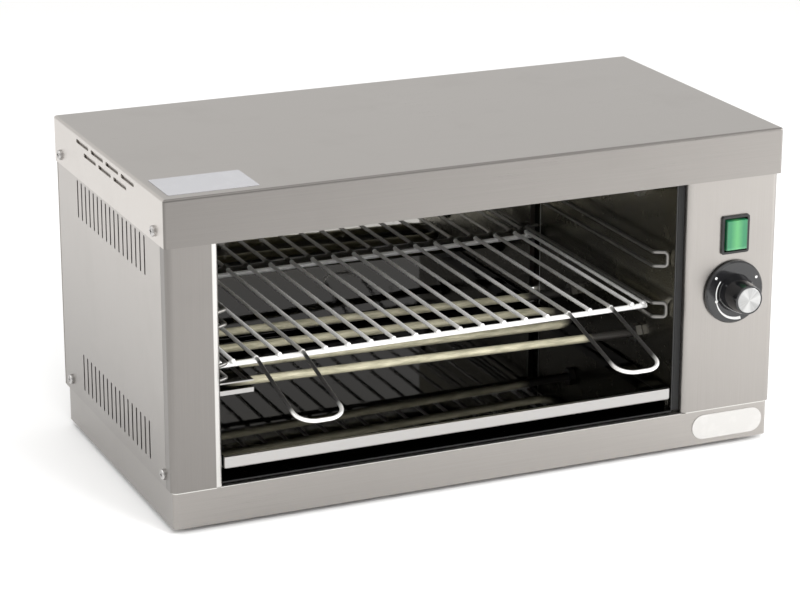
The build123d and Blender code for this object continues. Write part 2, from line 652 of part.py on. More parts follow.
# ---------------------------------------------------------------- crumb tray
tray_x = (CHAMBER_LEFT + TRAY_SIDE_GAP, CHAMBER_RIGHT - TRAY_SIDE_GAP)
tray_y = (FRONT + TRAY_SETBACK, CHAMBER_BACK - TRAY_BACK_GAP)
tray_z = (PLINTH_TOP + TRAY_RISE, PLINTH_TOP + TRAY_RISE + TRAY_HEIGHT)

with BuildPart() as crumb_tray:
    block(tray_x, tray_y, tray_z)
    fillet(crumb_tray.edges().filter_by(Axis.Z), TRAY_BEND)
    fillet(crumb_tray.faces().sort_by(Axis.Z)[0].edges(), TRAY_BEND)
    top_face = crumb_tray.faces().sort_by(Axis.Z)[-1]
    offset(amount=-TRAY_SHEET, openings=top_face)
    hem_x = (tray_x[0] + TRAY_BEND, tray_x[1] - TRAY_BEND)
    block(hem_x, (tray_y[0], tray_y[0] + TRAY_HEM), (tray_z[1] - TRAY_SHEET, tray_z[1]))
save(crumb_tray, "crumb_tray")

# ---------------------------------------------------------------- timer and its knob
panel_face = FRONT + SKIN
panel_back = panel_face + SHEET
knob_axis = Axis((knob_x, 0, knob_z), (0, 1, 0))
skirt_y = (panel_face - KNOB_FLOAT - KNOB_SKIRT_THICK, panel_face - KNOB_FLOAT)
cap_y = (FRONT - KNOB_REACH, FRONT - KNOB_REACH + KNOB_CAP_THICK)
tip_y = cap_y[0] + KNOB_CAP_PROUD
bush_front = panel_face - BUSH_PROUD
timer_y = (panel_back + SEAM, panel_back + SEAM + TIMER_DEPTH)
shaft_y = (cap_y[1] + KNOB_SHAFT_COVER, timer_y[0] + SHAFT_DEPTH)
shaft_hole = SHAFT / 2 + SHAFT_PLAY


def round_bar(y, radius, x, z, mode=Mode.ADD):
    """Round bar lying along Y between two depths."""
    with Locations(facing(x, y[0], z, (0, 1, 0))):
        Cylinder(radius, y[1] - y[0], align=(Align.CENTER, Align.CENTER, Align.MIN), mode=mode)


with BuildPart() as timer_body:
    half = TIMER_SIZE / 2
    block((knob_x - half, knob_x + half), timer_y, (knob_z - half, knob_z + half))
    fillet(timer_body.edges().filter_by(Axis.Y), TIMER_CORNER)
    round_bar((bush_front, timer_y[0]), BUSH / 2, knob_x, knob_z)
    round_bar((bush_front, shaft_y[1] + SEAM), shaft_hole, knob_x, knob_z, Mode.SUBTRACT)
save(timer_body, "timer_body")

with BuildPart() as timer_nut:
    with BuildSketch(facing(knob_x, panel_face, knob_z, (0, -1, 0))):
        RegularPolygon(BUSH_NUT / 2, 6, major_radius=False)
        Circle(BUSH / 2 + SHAFT_PLAY, mode=Mode.SUBTRACT)
    extrude(amount=BUSH_NUT_THICK)
save(timer_nut, "timer_nut")

with BuildPart() as timer_shaft:
    round_bar(shaft_y, SHAFT / 2, knob_x, knob_z)
    flat_z = (knob_z + SHAFT / 2 - SHAFT_FLAT, knob_z + SHAFT)
    block((knob_x - SHAFT, knob_x + SHAFT), (shaft_y[0], bush_front - KNOB_FLOAT), flat_z, Mode.SUBTRACT)
save(timer_shaft, "timer_shaft")

with BuildPart() as knob_body:
    with BuildSketch(Plane.XY.offset(knob_z)):
        with BuildLine():
            Polyline(
                (knob_x, skirt_y[1]),
                (knob_x + KNOB_SKIRT / 2, skirt_y[1]),
                (knob_x + KNOB_SKIRT / 2, skirt_y[0] + KNOB_BEVEL),
                (knob_x + KNOB_SKIRT / 2 - KNOB_BEVEL, skirt_y[0]),
                (knob_x + KNOB_ROOT / 2, skirt_y[0]),
                (knob_x + KNOB_TIP / 2, tip_y),
                (knob_x, tip_y),
                close=True,
            )
        make_face()
    revolve(axis=knob_axis)
    fillet(knob_body.edges().filter_by(GeomType.CIRCLE).sort_by(Axis.Y)[0], KNOB_TIP_ROUND)
    round_bar(cap_y, KNOB_CAP / 2 + SHAFT_PLAY, knob_x, knob_z, Mode.SUBTRACT)
    round_bar((bush_front - KNOB_FLOAT, skirt_y[1]), KNOB_POCKET / 2, knob_x, knob_z, Mode.SUBTRACT)
    round_bar((shaft_y[0] - SEAM, skirt_y[1]), shaft_hole, knob_x, knob_z, Mode.SUBTRACT)
save(knob_body, "knob_body")

with BuildPart() as knob_cap:
    round_bar(cap_y, KNOB_CAP / 2, knob_x, knob_z)
    fillet(knob_cap.edges().sort_by(Axis.Y)[0], KNOB_CAP_THICK / 3)
save(knob_cap, "knob_cap")

# ---------------------------------------------------------------- rocker switch
flange_y = (panel_face - SWITCH_FLANGE, panel_face)
housing_y = (panel_face, panel_back + SWITCH_DEPTH)
pivot_y = panel_face + ROCKER_PIVOT_DEPTH
pocket = (ROCKER[0] + 2 * ROCKER_PLAY, ROCKER[1] + 2 * ROCKER_SWING)
rocker_y = (flange_y[0] - ROCKER_PROUD, pivot_y + ROCKER_BACK)
rocker_rise = ROCKER[1] / 2 * tan(radians(ROCKER_TILT))
pocket_y = (flange_y[0], pivot_y + ROCKER_BACK + rocker_rise + ROCKER_PLAY)
pin_reach = SWITCH_BODY[0] / 2 - ROCKER_PIN_SHY


def centred(size, middle):
    """Low and high ends of a length about its middle."""
    return (middle - size / 2, middle + size / 2)


with BuildPart() as switch_housing:
    block(centred(SWITCH_BEZEL[0], switch_x), flange_y, centred(SWITCH_BEZEL[1], switch_z))
    fillet(switch_housing.edges().filter_by(Axis.Y), SWITCH_CORNER)
    fillet(switch_housing.faces().sort_by(Axis.Y)[0].edges(), SWITCH_FLANGE / 3)
    block(centred(SWITCH_BODY[0], switch_x), housing_y, centred(SWITCH_BODY[1], switch_z))
    block(centred(pocket[0], switch_x), pocket_y, centred(pocket[1], switch_z), Mode.SUBTRACT)
    with Locations(facing(switch_x, pivot_y, switch_z, (1, 0, 0))):
        Cylinder(ROCKER_PIN / 2 + SHAFT_PLAY, SWITCH_BODY[0] + CUT_PAST, mode=Mode.SUBTRACT)
save(switch_housing, "switch_housing")

with BuildPart() as rocker:
    block(centred(ROCKER[0], switch_x), rocker_y, centred(ROCKER[1], switch_z))
    fillet(rocker.faces().sort_by(Axis.Y)[0].edges(), ROCKER_ROUND)
    with Locations(facing(switch_x, pivot_y, switch_z, (1, 0, 0))):
        Cylinder(ROCKER_PIN / 2, 2 * pin_reach)
save(rocker, "rocker")

with BuildPart() as switch_terminals:
    for column in (-1, 1):
        for row in (-1, 1):
            blade_x = centred(TERMINAL_BLADE[0], switch_x + column * SWITCH_BODY[0] / 4)
            blade_z = centred(TERMINAL_BLADE[1], switch_z + row * SWITCH_BODY[1] / 4)
            block(blade_x, (housing_y[1], housing_y[1] + TERMINAL_LENGTH), blade_z)
save(switch_terminals, "switch_terminals")

with BuildPart() as timer_terminals:
    for column in (-1, 1):
        blade_x = centred(TERMINAL_BLADE[0], knob_x + column * TIMER_SIZE / 4)
        block(blade_x, (timer_y[1], timer_y[1] + TERMINAL_LENGTH), centred(TERMINAL_BLADE[1], knob_z))
save(timer_terminals, "timer_terminals")

# ---------------------------------------------------------------- gland and terminal block
gland_axis = Axis((gland_x, 0, gland_z), (0, 1, 0))
with BuildPart() as cord_gland:
    with BuildSketch(Plane.XY.offset(gland_z)):
        with BuildLine():
            Polyline(
                (gland_x + GLAND_BORE / 2, BACK + GLAND_REACH),
                (gland_x + GLAND_SNOUT / 2, BACK + GLAND_REACH),
                (gland_x + GLAND_FLANGE / 2, BACK + GLAND_LIP),
                (gland_x + GLAND_FLANGE / 2, BACK),
                (gland_x + GLAND_BODY / 2, BACK),
                (gland_x + GLAND_BODY / 2, BACK - GLAND_DEPTH),
                (gland_x + GLAND_BORE / 2, BACK - GLAND_DEPTH),
                close=True,
            )
        make_face()
    revolve(axis=gland_axis)
save(cord_gland, "cord_gland")

with BuildPart() as gland_nut:
    with BuildSketch(facing(gland_x, BACK - SHEET, gland_z, (0, -1, 0))):
        RegularPolygon(GLAND_NUT / 2, 6, major_radius=False)
        Circle(GLAND_BODY / 2 + SHAFT_PLAY, mode=Mode.SUBTRACT)
    extrude(amount=GLAND_NUT_THICK)
save(gland_nut, "gland_nut")

tub_floor = BASE + SHEET
block_y = (BACK - BLOCK_BACK_GAP - BLOCK[1], BACK - BLOCK_BACK_GAP)
block_z = (tub_floor, tub_floor + BLOCK[2])
with BuildPart() as terminal_block:
    block(centred(BLOCK[0], gland_x), block_y, block_z)
    fillet(terminal_block.edges().filter_by(Axis.Z), SHEET)
    with Locations((gland_x, (block_y[0] + block_y[1]) / 2, block_z[1])):
        with GridLocations(BLOCK[0] / BLOCK_WAYS, BLOCK[1] / 2, BLOCK_WAYS, 2):
            Cylinder(TERMINAL / 2 + SEAM, BLOCK[2], mode=Mode.SUBTRACT)
save(terminal_block, "terminal_block")

with BuildPart() as block_screws:
    screw_bottom = block_z[1] - BLOCK[2] / 2 + SEAM
    with Locations((gland_x, (block_y[0] + block_y[1]) / 2, screw_bottom)):
        with GridLocations(BLOCK[0] / BLOCK_WAYS, BLOCK[1] / 2, BLOCK_WAYS, 2):
            Cylinder(TERMINAL / 2, BLOCK[2] / 3, align=(Align.CENTER, Align.CENTER, Align.MIN))
save(block_screws, "terminal_block_screws")

# ---------------------------------------------------------------- panel screws


def pan_screw():
    """Cross-recessed pan head screw, its head's underside at the origin, driven along -Z."""
    with BuildPart() as screw:
        Cylinder(SCREW_HEAD / 2, SCREW_HEAD_THICK, align=(Align.CENTER, Align.CENTER, Align.MIN))
        fillet(screw.faces().sort_by(Axis.Z)[-1].edges(), SCREW_HEAD_THICK / 2)
        with BuildSketch(Plane.XY.offset(SCREW_HEAD_THICK)):
            Rectangle(SCREW_HEAD / 2, SCREW_RECESS)
            Rectangle(SCREW_RECESS, SCREW_HEAD / 2)
        extrude(amount=-SCREW_HEAD_THICK / 2, mode=Mode.SUBTRACT)
        with Locations((0, 0, 0)):
            Cylinder(SCREW / 2, SCREW_LENGTH, align=(Align.CENTER, Align.CENTER, Align.MAX))
        chamfer(screw.faces().sort_by(Axis.Z)[0].edges(), SCREW / 8)
    return screw.part


side_face = WIDTH / 2 - SKIN
side_places = [(out * side_face, y, side_screw_z, out) for out in (-1, 1) for y in side_screw_y]
hood_places = [(out * WIDTH / 2, y, hood_screw_z, out) for out in (-1, 1) for y in hood_screw_y]

for name, places in (("side_screws", side_places), ("hood_screws", hood_places)):
    with BuildPart() as screws:
        with Locations(*[facing(x, y, z, (out, 0, 0)) for x, y, z, out in places]):
            add(pan_screw())
    save(screws, name)

with BuildPart() as back_screws:
    with Locations(*[facing(x, BACK, z, (0, 1, 0)) for x in back_screw_x for z in back_screw_z]):
        add(pan_screw())
save(back_screws, "back_screws")

# ---------------------------------------------------------------- wiring in the control side
lead_x = [gland_x + (way - (BLOCK_WAYS - 1) / 2) * BLOCK[0] / BLOCK_WAYS for way in range(BLOCK_WAYS)]
lead_z = block_z[0] + BLOCK[2] / 2
element_end = tail_end + INSULATOR_LENGTH + TERMINAL_LENGTH
switch_end = housing_y[1] + TERMINAL_LENGTH
timer_end = timer_y[1] + TERMINAL_LENGTH
switch_lead_x = (switch_x - SWITCH_BODY[0] / 4, switch_x + SWITCH_BODY[0] / 4)
switch_lead_z = (switch_z - SWITCH_BODY[1] / 4, switch_z + SWITCH_BODY[1] / 4)
timer_lead_x = (knob_x - TIMER_SIZE / 4, knob_x + TIMER_SIZE / 4)
drop_x = (element_end + LEAD_RUN, RIGHT - LEAD_RUN)

supply_to_switch = [
    (lead_x[2], block_y[0], lead_z),
    (lead_x[2], block_y[0] - LEAD_RUN, lead_z),
    (drop_x[1], block_y[0] - 2 * LEAD_RUN, gland_z),
    (drop_x[1], switch_end + LEAD_RUN, knob_z),
    (switch_lead_x[1], switch_end + LEAD_RUN, switch_lead_z[0]),
    (switch_lead_x[1], switch_end, switch_lead_z[0]),
]
switch_to_timer = [
    (switch_lead_x[0], switch_end, switch_lead_z[1]),
    (switch_lead_x[0], switch_end + LEAD_RUN, switch_lead_z[1]),
    (timer_lead_x[0], timer_end + LEAD_RUN, knob_z + LEAD_RUN),
    (timer_lead_x[0], timer_end + LEAD_RUN, knob_z),
    (timer_lead_x[0], timer_end, knob_z),
]
timer_to_lower = [
    (timer_lead_x[1], timer_end, knob_z - LEAD_SPLIT),
    (timer_lead_x[1], rod_y[0], knob_z - LEAD_SPLIT),
    (timer_lead_x[1], rod_y[0], rod_low_z),
    (element_end, rod_y[0], rod_low_z),
]
timer_to_upper = [
    (timer_lead_x[1], timer_end, knob_z + LEAD_SPLIT),
    (timer_lead_x[1], rod_y[0], knob_z + LEAD_SPLIT),
    (timer_lead_x[1], rod_y[0], rod_high_z),
    (element_end, rod_y[0], rod_high_z),
]
supply_to_lower = [
    (lead_x[1], block_y[0], lead_z),
    (lead_x[1], rod_y[-1], lead_z),
    (lead_x[1], rod_y[-1], rod_low_z),
    (element_end, rod_y[-1], rod_low_z),
]
supply_to_upper = [
    (lead_x[0], block_y[0], lead_z),
    (lead_x[0], block_y[0] - LEAD_EXIT, lead_z),
    (lead_x[0] + LEAD_RUN / 2, block_y[0] - LEAD_EXIT, knob_z),
    (drop_x[0], rod_y[-1], rod_high_z),
    (element_end, rod_y[-1], rod_high_z),
]
leads = [supply_to_switch, switch_to_timer, timer_to_lower, timer_to_upper]
leads += [supply_to_lower, supply_to_upper]

with BuildPart() as wiring:
    for lead in leads:
        with BuildLine():
            spine = FilletPolyline(*lead, radius=LEAD_BEND)
        with BuildSketch(Plane(origin=spine @ 0, z_dir=spine % 0)):
            Circle(LEAD / 2)
        sweep()
save(wiring, "wiring")
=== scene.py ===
"""Dressed model of an open-fronted countertop cheese melter, with its studio and camera."""

import logging
import math
from dataclasses import dataclass
from enum import Enum
from typing import Iterable, Protocol, Sequence

import bpy
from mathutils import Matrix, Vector


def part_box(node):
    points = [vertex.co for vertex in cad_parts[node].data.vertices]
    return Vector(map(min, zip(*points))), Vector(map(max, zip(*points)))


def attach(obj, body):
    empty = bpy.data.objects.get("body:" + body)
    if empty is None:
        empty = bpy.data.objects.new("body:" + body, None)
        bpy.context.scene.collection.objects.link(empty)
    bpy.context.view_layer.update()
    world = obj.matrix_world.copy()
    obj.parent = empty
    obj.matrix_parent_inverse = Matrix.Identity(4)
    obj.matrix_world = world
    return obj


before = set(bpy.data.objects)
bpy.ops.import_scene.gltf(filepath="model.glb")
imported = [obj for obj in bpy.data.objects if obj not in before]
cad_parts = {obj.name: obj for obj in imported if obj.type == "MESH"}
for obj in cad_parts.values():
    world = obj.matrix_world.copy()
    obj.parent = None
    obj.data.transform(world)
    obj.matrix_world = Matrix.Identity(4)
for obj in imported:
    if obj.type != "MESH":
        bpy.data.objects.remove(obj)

logging.basicConfig(level=logging.INFO, format="%(message)s")
log = logging.getLogger("melter")

MM = 0.001
SMOOTH_DEGREES = 40.0
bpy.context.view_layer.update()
Colour = tuple[float, float, float]
Point = tuple[float, float, float]


class Grain(Enum):
    """Direction along which a sheet is brushed, as the scale of its noise on each axis."""

    ALONG_X = (14.0, 2300.0, 2300.0)
    ALONG_Z = (2300.0, 2300.0, 14.0)


# ------------------------------------------------------------------ shader maths


class Signal:
    """An output socket that takes part in Python expressions."""

    def __init__(self, graph: "Graph", socket: bpy.types.NodeSocket) -> None:
        """Keeps the socket and the graph that new maths nodes go into."""
        self.graph = graph
        self.socket = socket

    def _math(self, operation: str, *values: "Signal | float") -> "Signal":
        """Adds one Math node.

        Args:
            operation: Name of the Math node's operation.
            values: Signals or numbers, in the node's order.

        Returns:
            The node's result.
        """
        inputs = dict(enumerate(values))
        return self.graph.node("ShaderNodeMath", {"operation": operation}, inputs)

    def __add__(self, other: "Signal | float") -> "Signal":
        """Sum."""
        return self._math("ADD", self, other)

    def __radd__(self, other: float) -> "Signal":
        """Sum with a number in front."""
        return self._math("ADD", other, self)

    def __sub__(self, other: "Signal | float") -> "Signal":
        """Difference."""
        return self._math("SUBTRACT", self, other)

    def __rsub__(self, other: float) -> "Signal":
        """Difference from a number."""
        return self._math("SUBTRACT", other, self)

    def __mul__(self, other: "Signal | float") -> "Signal":
        """Product."""
        return self._math("MULTIPLY", self, other)

    def __truediv__(self, other: "Signal | float") -> "Signal":
        """Quotient."""
        return self._math("DIVIDE", self, other)

    def __pow__(self, other: "Signal | float") -> "Signal":
        """Power."""
        return self._math("POWER", self, other)

    def clamp(self) -> "Signal":
        """The value held between 0 and 1."""
        return self._math("MAXIMUM", self._math("MINIMUM", self, 1.0), 0.0)


class Graph:
    """Node tree of one material under construction."""

    def __init__(self, name: str) -> None:
        """Makes an empty material.

        Args:
            name: The material's name.
        """
        self.material = bpy.data.materials.new(name)
        self.material.use_nodes = True
        self.tree = self.material.node_tree
        self.tree.nodes.clear()

    def node(
        self,
        kind: str,
        settings: dict[str, object] | None = None,
        inputs: dict[str | int, object] | None = None,
        output: str | int = 0,
    ) -> Signal:
        """Adds one node.

        Args:
            kind: Blender's node type.
            settings: Node properties, set before the sockets.
            inputs: Values or signals by socket name or number.
            output: The output socket to return.

        Returns:
            The chosen output as a signal.
        """
        made = self.tree.nodes.new(kind)
        for key, value in (settings or {}).items():
            setattr(made, key, value)
        for key, value in (inputs or {}).items():
            if isinstance(value, Signal):
                self.tree.links.new(value.socket, made.inputs[key])
            else:
                made.inputs[key].default_value = value
        return Signal(self, made.outputs[output])

    def place(
        self,
        scale: Sequence[float] = (1.0, 1.0, 1.0),
        centre: Sequence[float] = (0.0, 0.0, 0.0),
    ) -> Signal:
        """Object coordinates about a centre, in metres times the scale.

        Args:
            scale: Factor along each axis.
            centre: The point that becomes zero.

        Returns:
            The vector.
        """
        raw = self.node("ShaderNodeTexCoord", output="Object")
        shift = tuple(-c * s for c, s in zip(centre, scale))
        mapping = {"Vector": raw, "Location": shift, "Scale": tuple(scale)}
        return self.node("ShaderNodeMapping", None, mapping)

    def noise(
        self, where: Signal, scale: float, detail: float = 3.0, rough: float = 0.5
    ) -> Signal:
        """Noise from 0 to 1.

        Args:
            where: Vector to read.
            scale: Cells per unit.
            detail: Octaves.
            rough: Share that each octave keeps.

        Returns:
            The noise value.
        """
        inputs = {"Vector": where, "Scale": scale, "Detail": detail, "Roughness": rough}
        return self.node("ShaderNodeTexNoise", None, inputs)

    def ramp(self, value: Signal, low: float, high: float) -> Signal:
        """Straight ramp from 0 at low to 1 at high, held outside.

        Args:
            value: The signal to read.
            low: Where the ramp starts.
            high: Where the ramp ends.

        Returns:
            The ramp's value.
        """
        inputs = {"Value": value, "From Min": low, "From Max": high}
        return self.node("ShaderNodeMapRange", {"clamp": True}, inputs)

    def blend(self, amount: Signal | float, first: object, second: object) -> Signal:
        """Mix of two colours.

        Args:
            amount: 0 for the first colour, 1 for the second.
            first: A colour or a signal.
            second: A colour or a signal.

        Returns:
            The mixed colour.
        """
        def rgba(value: object) -> object:
            """A signal as it is, or a colour with its alpha."""
            return value if isinstance(value, Signal) else (*value, 1.0)

        inputs = {0: amount, 6: rgba(first), 7: rgba(second)}
        return self.node("ShaderNodeMix", {"data_type": "RGBA"}, inputs, 2)

    def dim(self, colour: object, amount: float) -> Signal:
        """A colour with its brightness multiplied.

        Args:
            colour: The colour.
            amount: The factor.

        Returns:
            The colour at its new brightness.
        """
        inputs = {0: colour, "Scale": amount}
        return self.node("ShaderNodeVectorMath", {"operation": "SCALE"}, inputs)

    def axes(self, vector: Signal) -> tuple[Signal, Signal, Signal]:
        """The three parts of a vector."""
        parts = self.node("ShaderNodeSeparateXYZ", None, {0: vector})
        outputs = parts.socket.node.outputs
        return Signal(self, outputs[0]), Signal(self, outputs[1]), Signal(self, outputs[2])

    def strip(self, value: Signal, start: float, end: float, blur: float) -> Signal:
        """Strip that rises over a blur from its start and falls over a blur from its end.

        Args:
            value: The signal to read.
            start: Where the rise begins.
            end: Where the fall begins.
            blur: Length of the rise and of the fall.

        Returns:
            The strip's value.
        """
        return self.ramp(value, start, start + blur) * (1.0 - self.ramp(value, end, end + blur))

    def bump(self, height: Signal, distance: float, strength: float = 1.0) -> Signal:
        """Normal bent by a height.

        Args:
            height: Height from 0 to 1.
            distance: Metres that a height of 1 stands for.
            strength: Share of the effect.

        Returns:
            The normal.
        """
        inputs = {"Height": height, "Distance": distance, "Strength": strength}
        return self.node("ShaderNodeBump", None, inputs)

    def surface(self, **sockets: object) -> bpy.types.Material:
        """Ends the graph in a Principled surface.

        Args:
            sockets: Socket values by name, with underscores for spaces.

        Returns:
            The finished material.
        """
        inputs = {}
        for key, value in sockets.items():
            is_colour = isinstance(value, tuple) and len(value) == 3
            inputs[key.replace("_", " ")] = (*value, 1.0) if is_colour else value
        shader = self.node("ShaderNodeBsdfPrincipled", None, inputs)
        out = self.tree.nodes.new("ShaderNodeOutputMaterial")
        self.tree.links.new(shader.socket, out.inputs["Surface"])
        return self.material


def scaled(colour: Colour, amount: float) -> Colour:
    """A colour times a factor, held at 1."""
    return tuple(min(1.0, part * amount) for part in colour)


# ------------------------------------------------------------------ finishes


class Finish(Protocol):
    """Anything that builds a material of its own."""

    def make(self) -> bpy.types.Material:
        """Builds the material."""


@dataclass(frozen=True)
class BrushedSteel:
    """Satin brushed stainless sheet: fine grain, faint smudges, pale patches and a painted
    shade fade.

    The fade is painted shade: it multiplies the tone from its first to its second value, from
    fade_from to fade_to along fade_axis. It follows the tones of the photograph and stands for
    no property of steel.
    """

    name: str
    grain: Grain
    colour: Colour = (0.425, 0.402, 0.380)
    roughness: float = 0.30
    depth: float = 0.004 * MM
    fade: tuple[float, float] = (1.0, 1.0)
    fade_axis: int = 0
    fade_from: float = -0.25
    fade_to: float = 0.25

    def make(self) -> bpy.types.Material:
        """Builds the material.

        Returns:
            The material.
        """
        g = Graph(self.name)
        lines = g.noise(g.place(self.grain.value), 1.0, 3.0, 0.6)
        cloud = g.noise(g.place(), 7.0, 3.0, 0.5)
        smudge = g.ramp(g.noise(g.place(centre=(0.3, 0.1, 0.2)), 17.0, 5.0, 0.6), 0.54, 0.80)
        dark, pale = scaled(self.colour, 0.955), scaled(self.colour, 1.04)
        tone = g.blend(g.ramp(lines, 0.30, 0.70), dark, pale)
        tone = g.blend(cloud * 0.25, tone, scaled(self.colour, 1.06))
        tone = g.blend(smudge * 0.12, tone, scaled(self.colour, 0.84))
        rough = self.roughness + (lines - 0.5) * 0.10 + (cloud - 0.5) * 0.06 + smudge * 0.04
        normal = g.bump(lines, self.depth)
        graded = self.grade(g, tone)
        return g.surface(Base_Color=graded, Metallic=1.0, Roughness=rough, Normal=normal)

    def grade(self, g: Graph, tone: Signal) -> Signal:
        """Paints shade that fades the sheet's tone from one end to the other.

        Args:
            g: The graph.
            tone: Colour of the grained sheet.

        Returns:
            The faded colour.
        """
        along = g.ramp(g.axes(g.place())[self.fade_axis], self.fade_from, self.fade_to)
        return g.blend(along, g.dim(tone, self.fade[0]), g.dim(tone, self.fade[1]))


@dataclass(frozen=True)
class MouthSteel(BrushedSteel):
    """Brushed sheet with a painted highlight in a strip at its bend into the left side of the
    mouth.
    """

    edge_x: float = 0.0
    bend: float = 4.6 * MM
    blur: float = 0.5 * MM
    bright: Colour = (0.58, 0.57, 0.55)

    def grade(self, g: Graph, tone: Signal) -> Signal:
        """Paints a highlight on the bend.

        Args:
            g: The graph.
            tone: Colour of the grained sheet.

        Returns:
            The colour with the painted highlight on the bend.
        """
        x, _, _ = g.axes(g.place())
        strip = g.strip(x, self.edge_x - self.bend, self.edge_x + self.bend, self.blur)
        return g.blend(strip, super().grade(g, tone), self.bright)


@dataclass(frozen=True)
class TubSteel(BrushedSteel):
    """Brushed sheet: painted highlight on the sill edge, painted shade on the upstand behind
    the seam.
    """

    sill_z: float = 0.0
    edge: float = 0.8 * MM
    bright: Colour = (0.70, 0.69, 0.66)
    seam_from: float = 0.02 * MM
    seam_to: float = 0.08 * MM
    dark: Colour = (0.030, 0.028, 0.026)

    def grade(self, g: Graph, tone: Signal) -> Signal:
        """Paints a highlight on the sill edge and paints shade on what stands above it.

        Args:
            g: The graph.
            tone: Colour of the grained sheet.

        Returns:
            The colour with its edge and upstand.
        """
        _, _, z = g.axes(g.place())
        # Painted highlight along the sill edge, painted shade in the seam above it.
        sill = g.ramp(z, self.sill_z - self.edge, self.sill_z - self.edge / 2)
        tone = g.blend(sill, super().grade(g, tone), self.bright)
        above = g.ramp(z, self.sill_z + self.seam_from, self.sill_z + self.seam_to)
        return g.blend(above, tone, self.dark)


@dataclass(frozen=True)
class HoodSteel(BrushedSteel):
    """Brushed sheet of the folded hood: painted shade on its front skirt, painted light on its
    left skirt.
    """

    front_y: float = 0.0
    side_x: float = 0.0
    skin: float = 1.2 * MM
    side_light_gain: float = 1.32

    def grade(self, g: Graph, tone: Signal) -> Signal:
        """Paints shade on the front skirt and light on the left skirt.

        Args:
            g: The graph.
            tone: Colour of the grained sheet.

        Returns:
            The colour of top and skirts.
        """
        x, y, _ = g.axes(g.place())
        front = 1.0 - g.ramp(y, self.front_y + self.skin, self.front_y + 2.0 * self.skin)
        side = 1.0 - g.ramp(x, self.side_x + self.skin, self.side_x + 2.0 * self.skin)
        # Painted light makes the left skirt paler; painted shade darkens the front skirt.
        top = g.blend(side, tone, g.dim(tone, self.side_light_gain))
        return g.blend(front, top, super().grade(g, tone))


@dataclass(frozen=True)
class ChamberSteel:
    """Mirroring liner sheet, darkened as painted shade, spotted, and straw tinted towards the
    top.

    Its front edge at edge_y is painted black as shade, and a painted highlight runs as a line
    where fold_axis reads fold. The defaults of both lie outside the chamber, so a sheet that
    doesn't set them has neither.
    """

    name: str
    colour: Colour = (0.120, 0.117, 0.112)
    tint: Colour = (0.150, 0.138, 0.100)
    roughness: float = 0.016
    stains: float = 0.30
    spots: Colour = (0.060, 0.050, 0.036)
    edge_y: float = -1.0
    edge: float = 0.6 * MM
    edge_blur: float = 0.4 * MM
    edge_shade: Colour = (0.006, 0.006, 0.006)
    hot_from: float = 0.080
    hot_to: float = 0.190
    fold_axis: int = 0
    fold: float = 9.0
    fold_half: float = 0.8 * MM
    fold_blur: float = 0.2 * MM
    fold_highlight: Colour = (0.92, 0.92, 0.90)
    depth: float = 0.02 * MM

    def tone(self, g: Graph) -> tuple[Signal, Signal, Signal]:
        """Adds the colour, roughness and height of the sheet to a graph.

        Args:
            g: The graph.

        Returns:
            Colour, roughness and height.
        """
        _, _, z = g.axes(g.place())
        cloud = g.noise(g.place(centre=(0.1, 0.3, 0.0)), 13.0, 5.0, 0.6)
        wipes = g.noise(g.place((25.0, 25.0, 190.0)), 1.0, 3.0, 0.6)
        heat = (g.ramp(z, self.hot_from, self.hot_to) * g.ramp(cloud, 0.30, 0.70)).clamp()
        stain = g.ramp(g.noise(g.place(), 75.0, 6.0, 0.72), 0.60, 0.72)
        tone = g.blend(heat, self.colour, self.tint)
        tone = g.blend(stain * self.stains, tone, self.spots)
        rough = self.roughness + cloud * 0.016 + stain * 0.16
        return tone, rough, wipes * 0.6 + cloud * 0.4

    def make(self) -> bpy.types.Material:
        """Builds the material.

        Returns:
            The material.
        """
        g = Graph(self.name)
        tone, rough, height = self.tone(g)
        _, y, _ = g.axes(g.place())
        # Painted shade turns the front edge black; a painted highlight runs along the fold.
        edge = self.edge_y + self.edge
        face = g.ramp(y, edge, edge + self.edge_blur)
        tone = g.blend(face, self.edge_shade, tone)
        across = g.axes(g.place())[self.fold_axis]
        end = self.fold + self.fold_half - self.fold_blur
        bright = g.strip(across, self.fold - self.fold_half, end, self.fold_blur)
        tone = g.blend(bright, tone, self.fold_highlight)
        metal = face * (1.0 - bright * 0.8)
        normal = g.bump(height, self.depth)
        return g.surface(Base_Color=tone, Metallic=metal, Roughness=rough, Normal=normal)


@dataclass(frozen=True)
class TraySteel(ChamberSteel):
    """Tray or holder sheet: painted dark as shade and mirroring inside, satin and pale at its
    front lip.
    """

    lip: Colour = (0.47, 0.46, 0.45)
    front: float = 0.0
    lip_depth: float = 3.4 * MM
    lip_blur: float = 0.3 * MM
    depth: float = 0.03 * MM

    def make(self) -> bpy.types.Material:
        """Builds the material.

        Returns:
            The material.
        """
        g = Graph(self.name)
        tone, rough, height = self.tone(g)
        _, y, _ = g.axes(g.place())
        lip_end = self.front + self.lip_depth
        inside = g.ramp(y, lip_end - self.lip_blur, lip_end)
        streaks = g.noise(g.place(Grain.ALONG_X.value), 1.0, 3.0, 0.6)
        lip = g.blend(streaks, scaled(self.lip, 0.92), self.lip)
        tone = g.blend(inside, lip, tone)
        rough = rough * inside + (0.26 + streaks * 0.08) * (1.0 - inside)
        normal = g.bump(height, self.depth)
        return g.surface(Base_Color=tone, Metallic=1.0, Roughness=rough, Normal=normal)


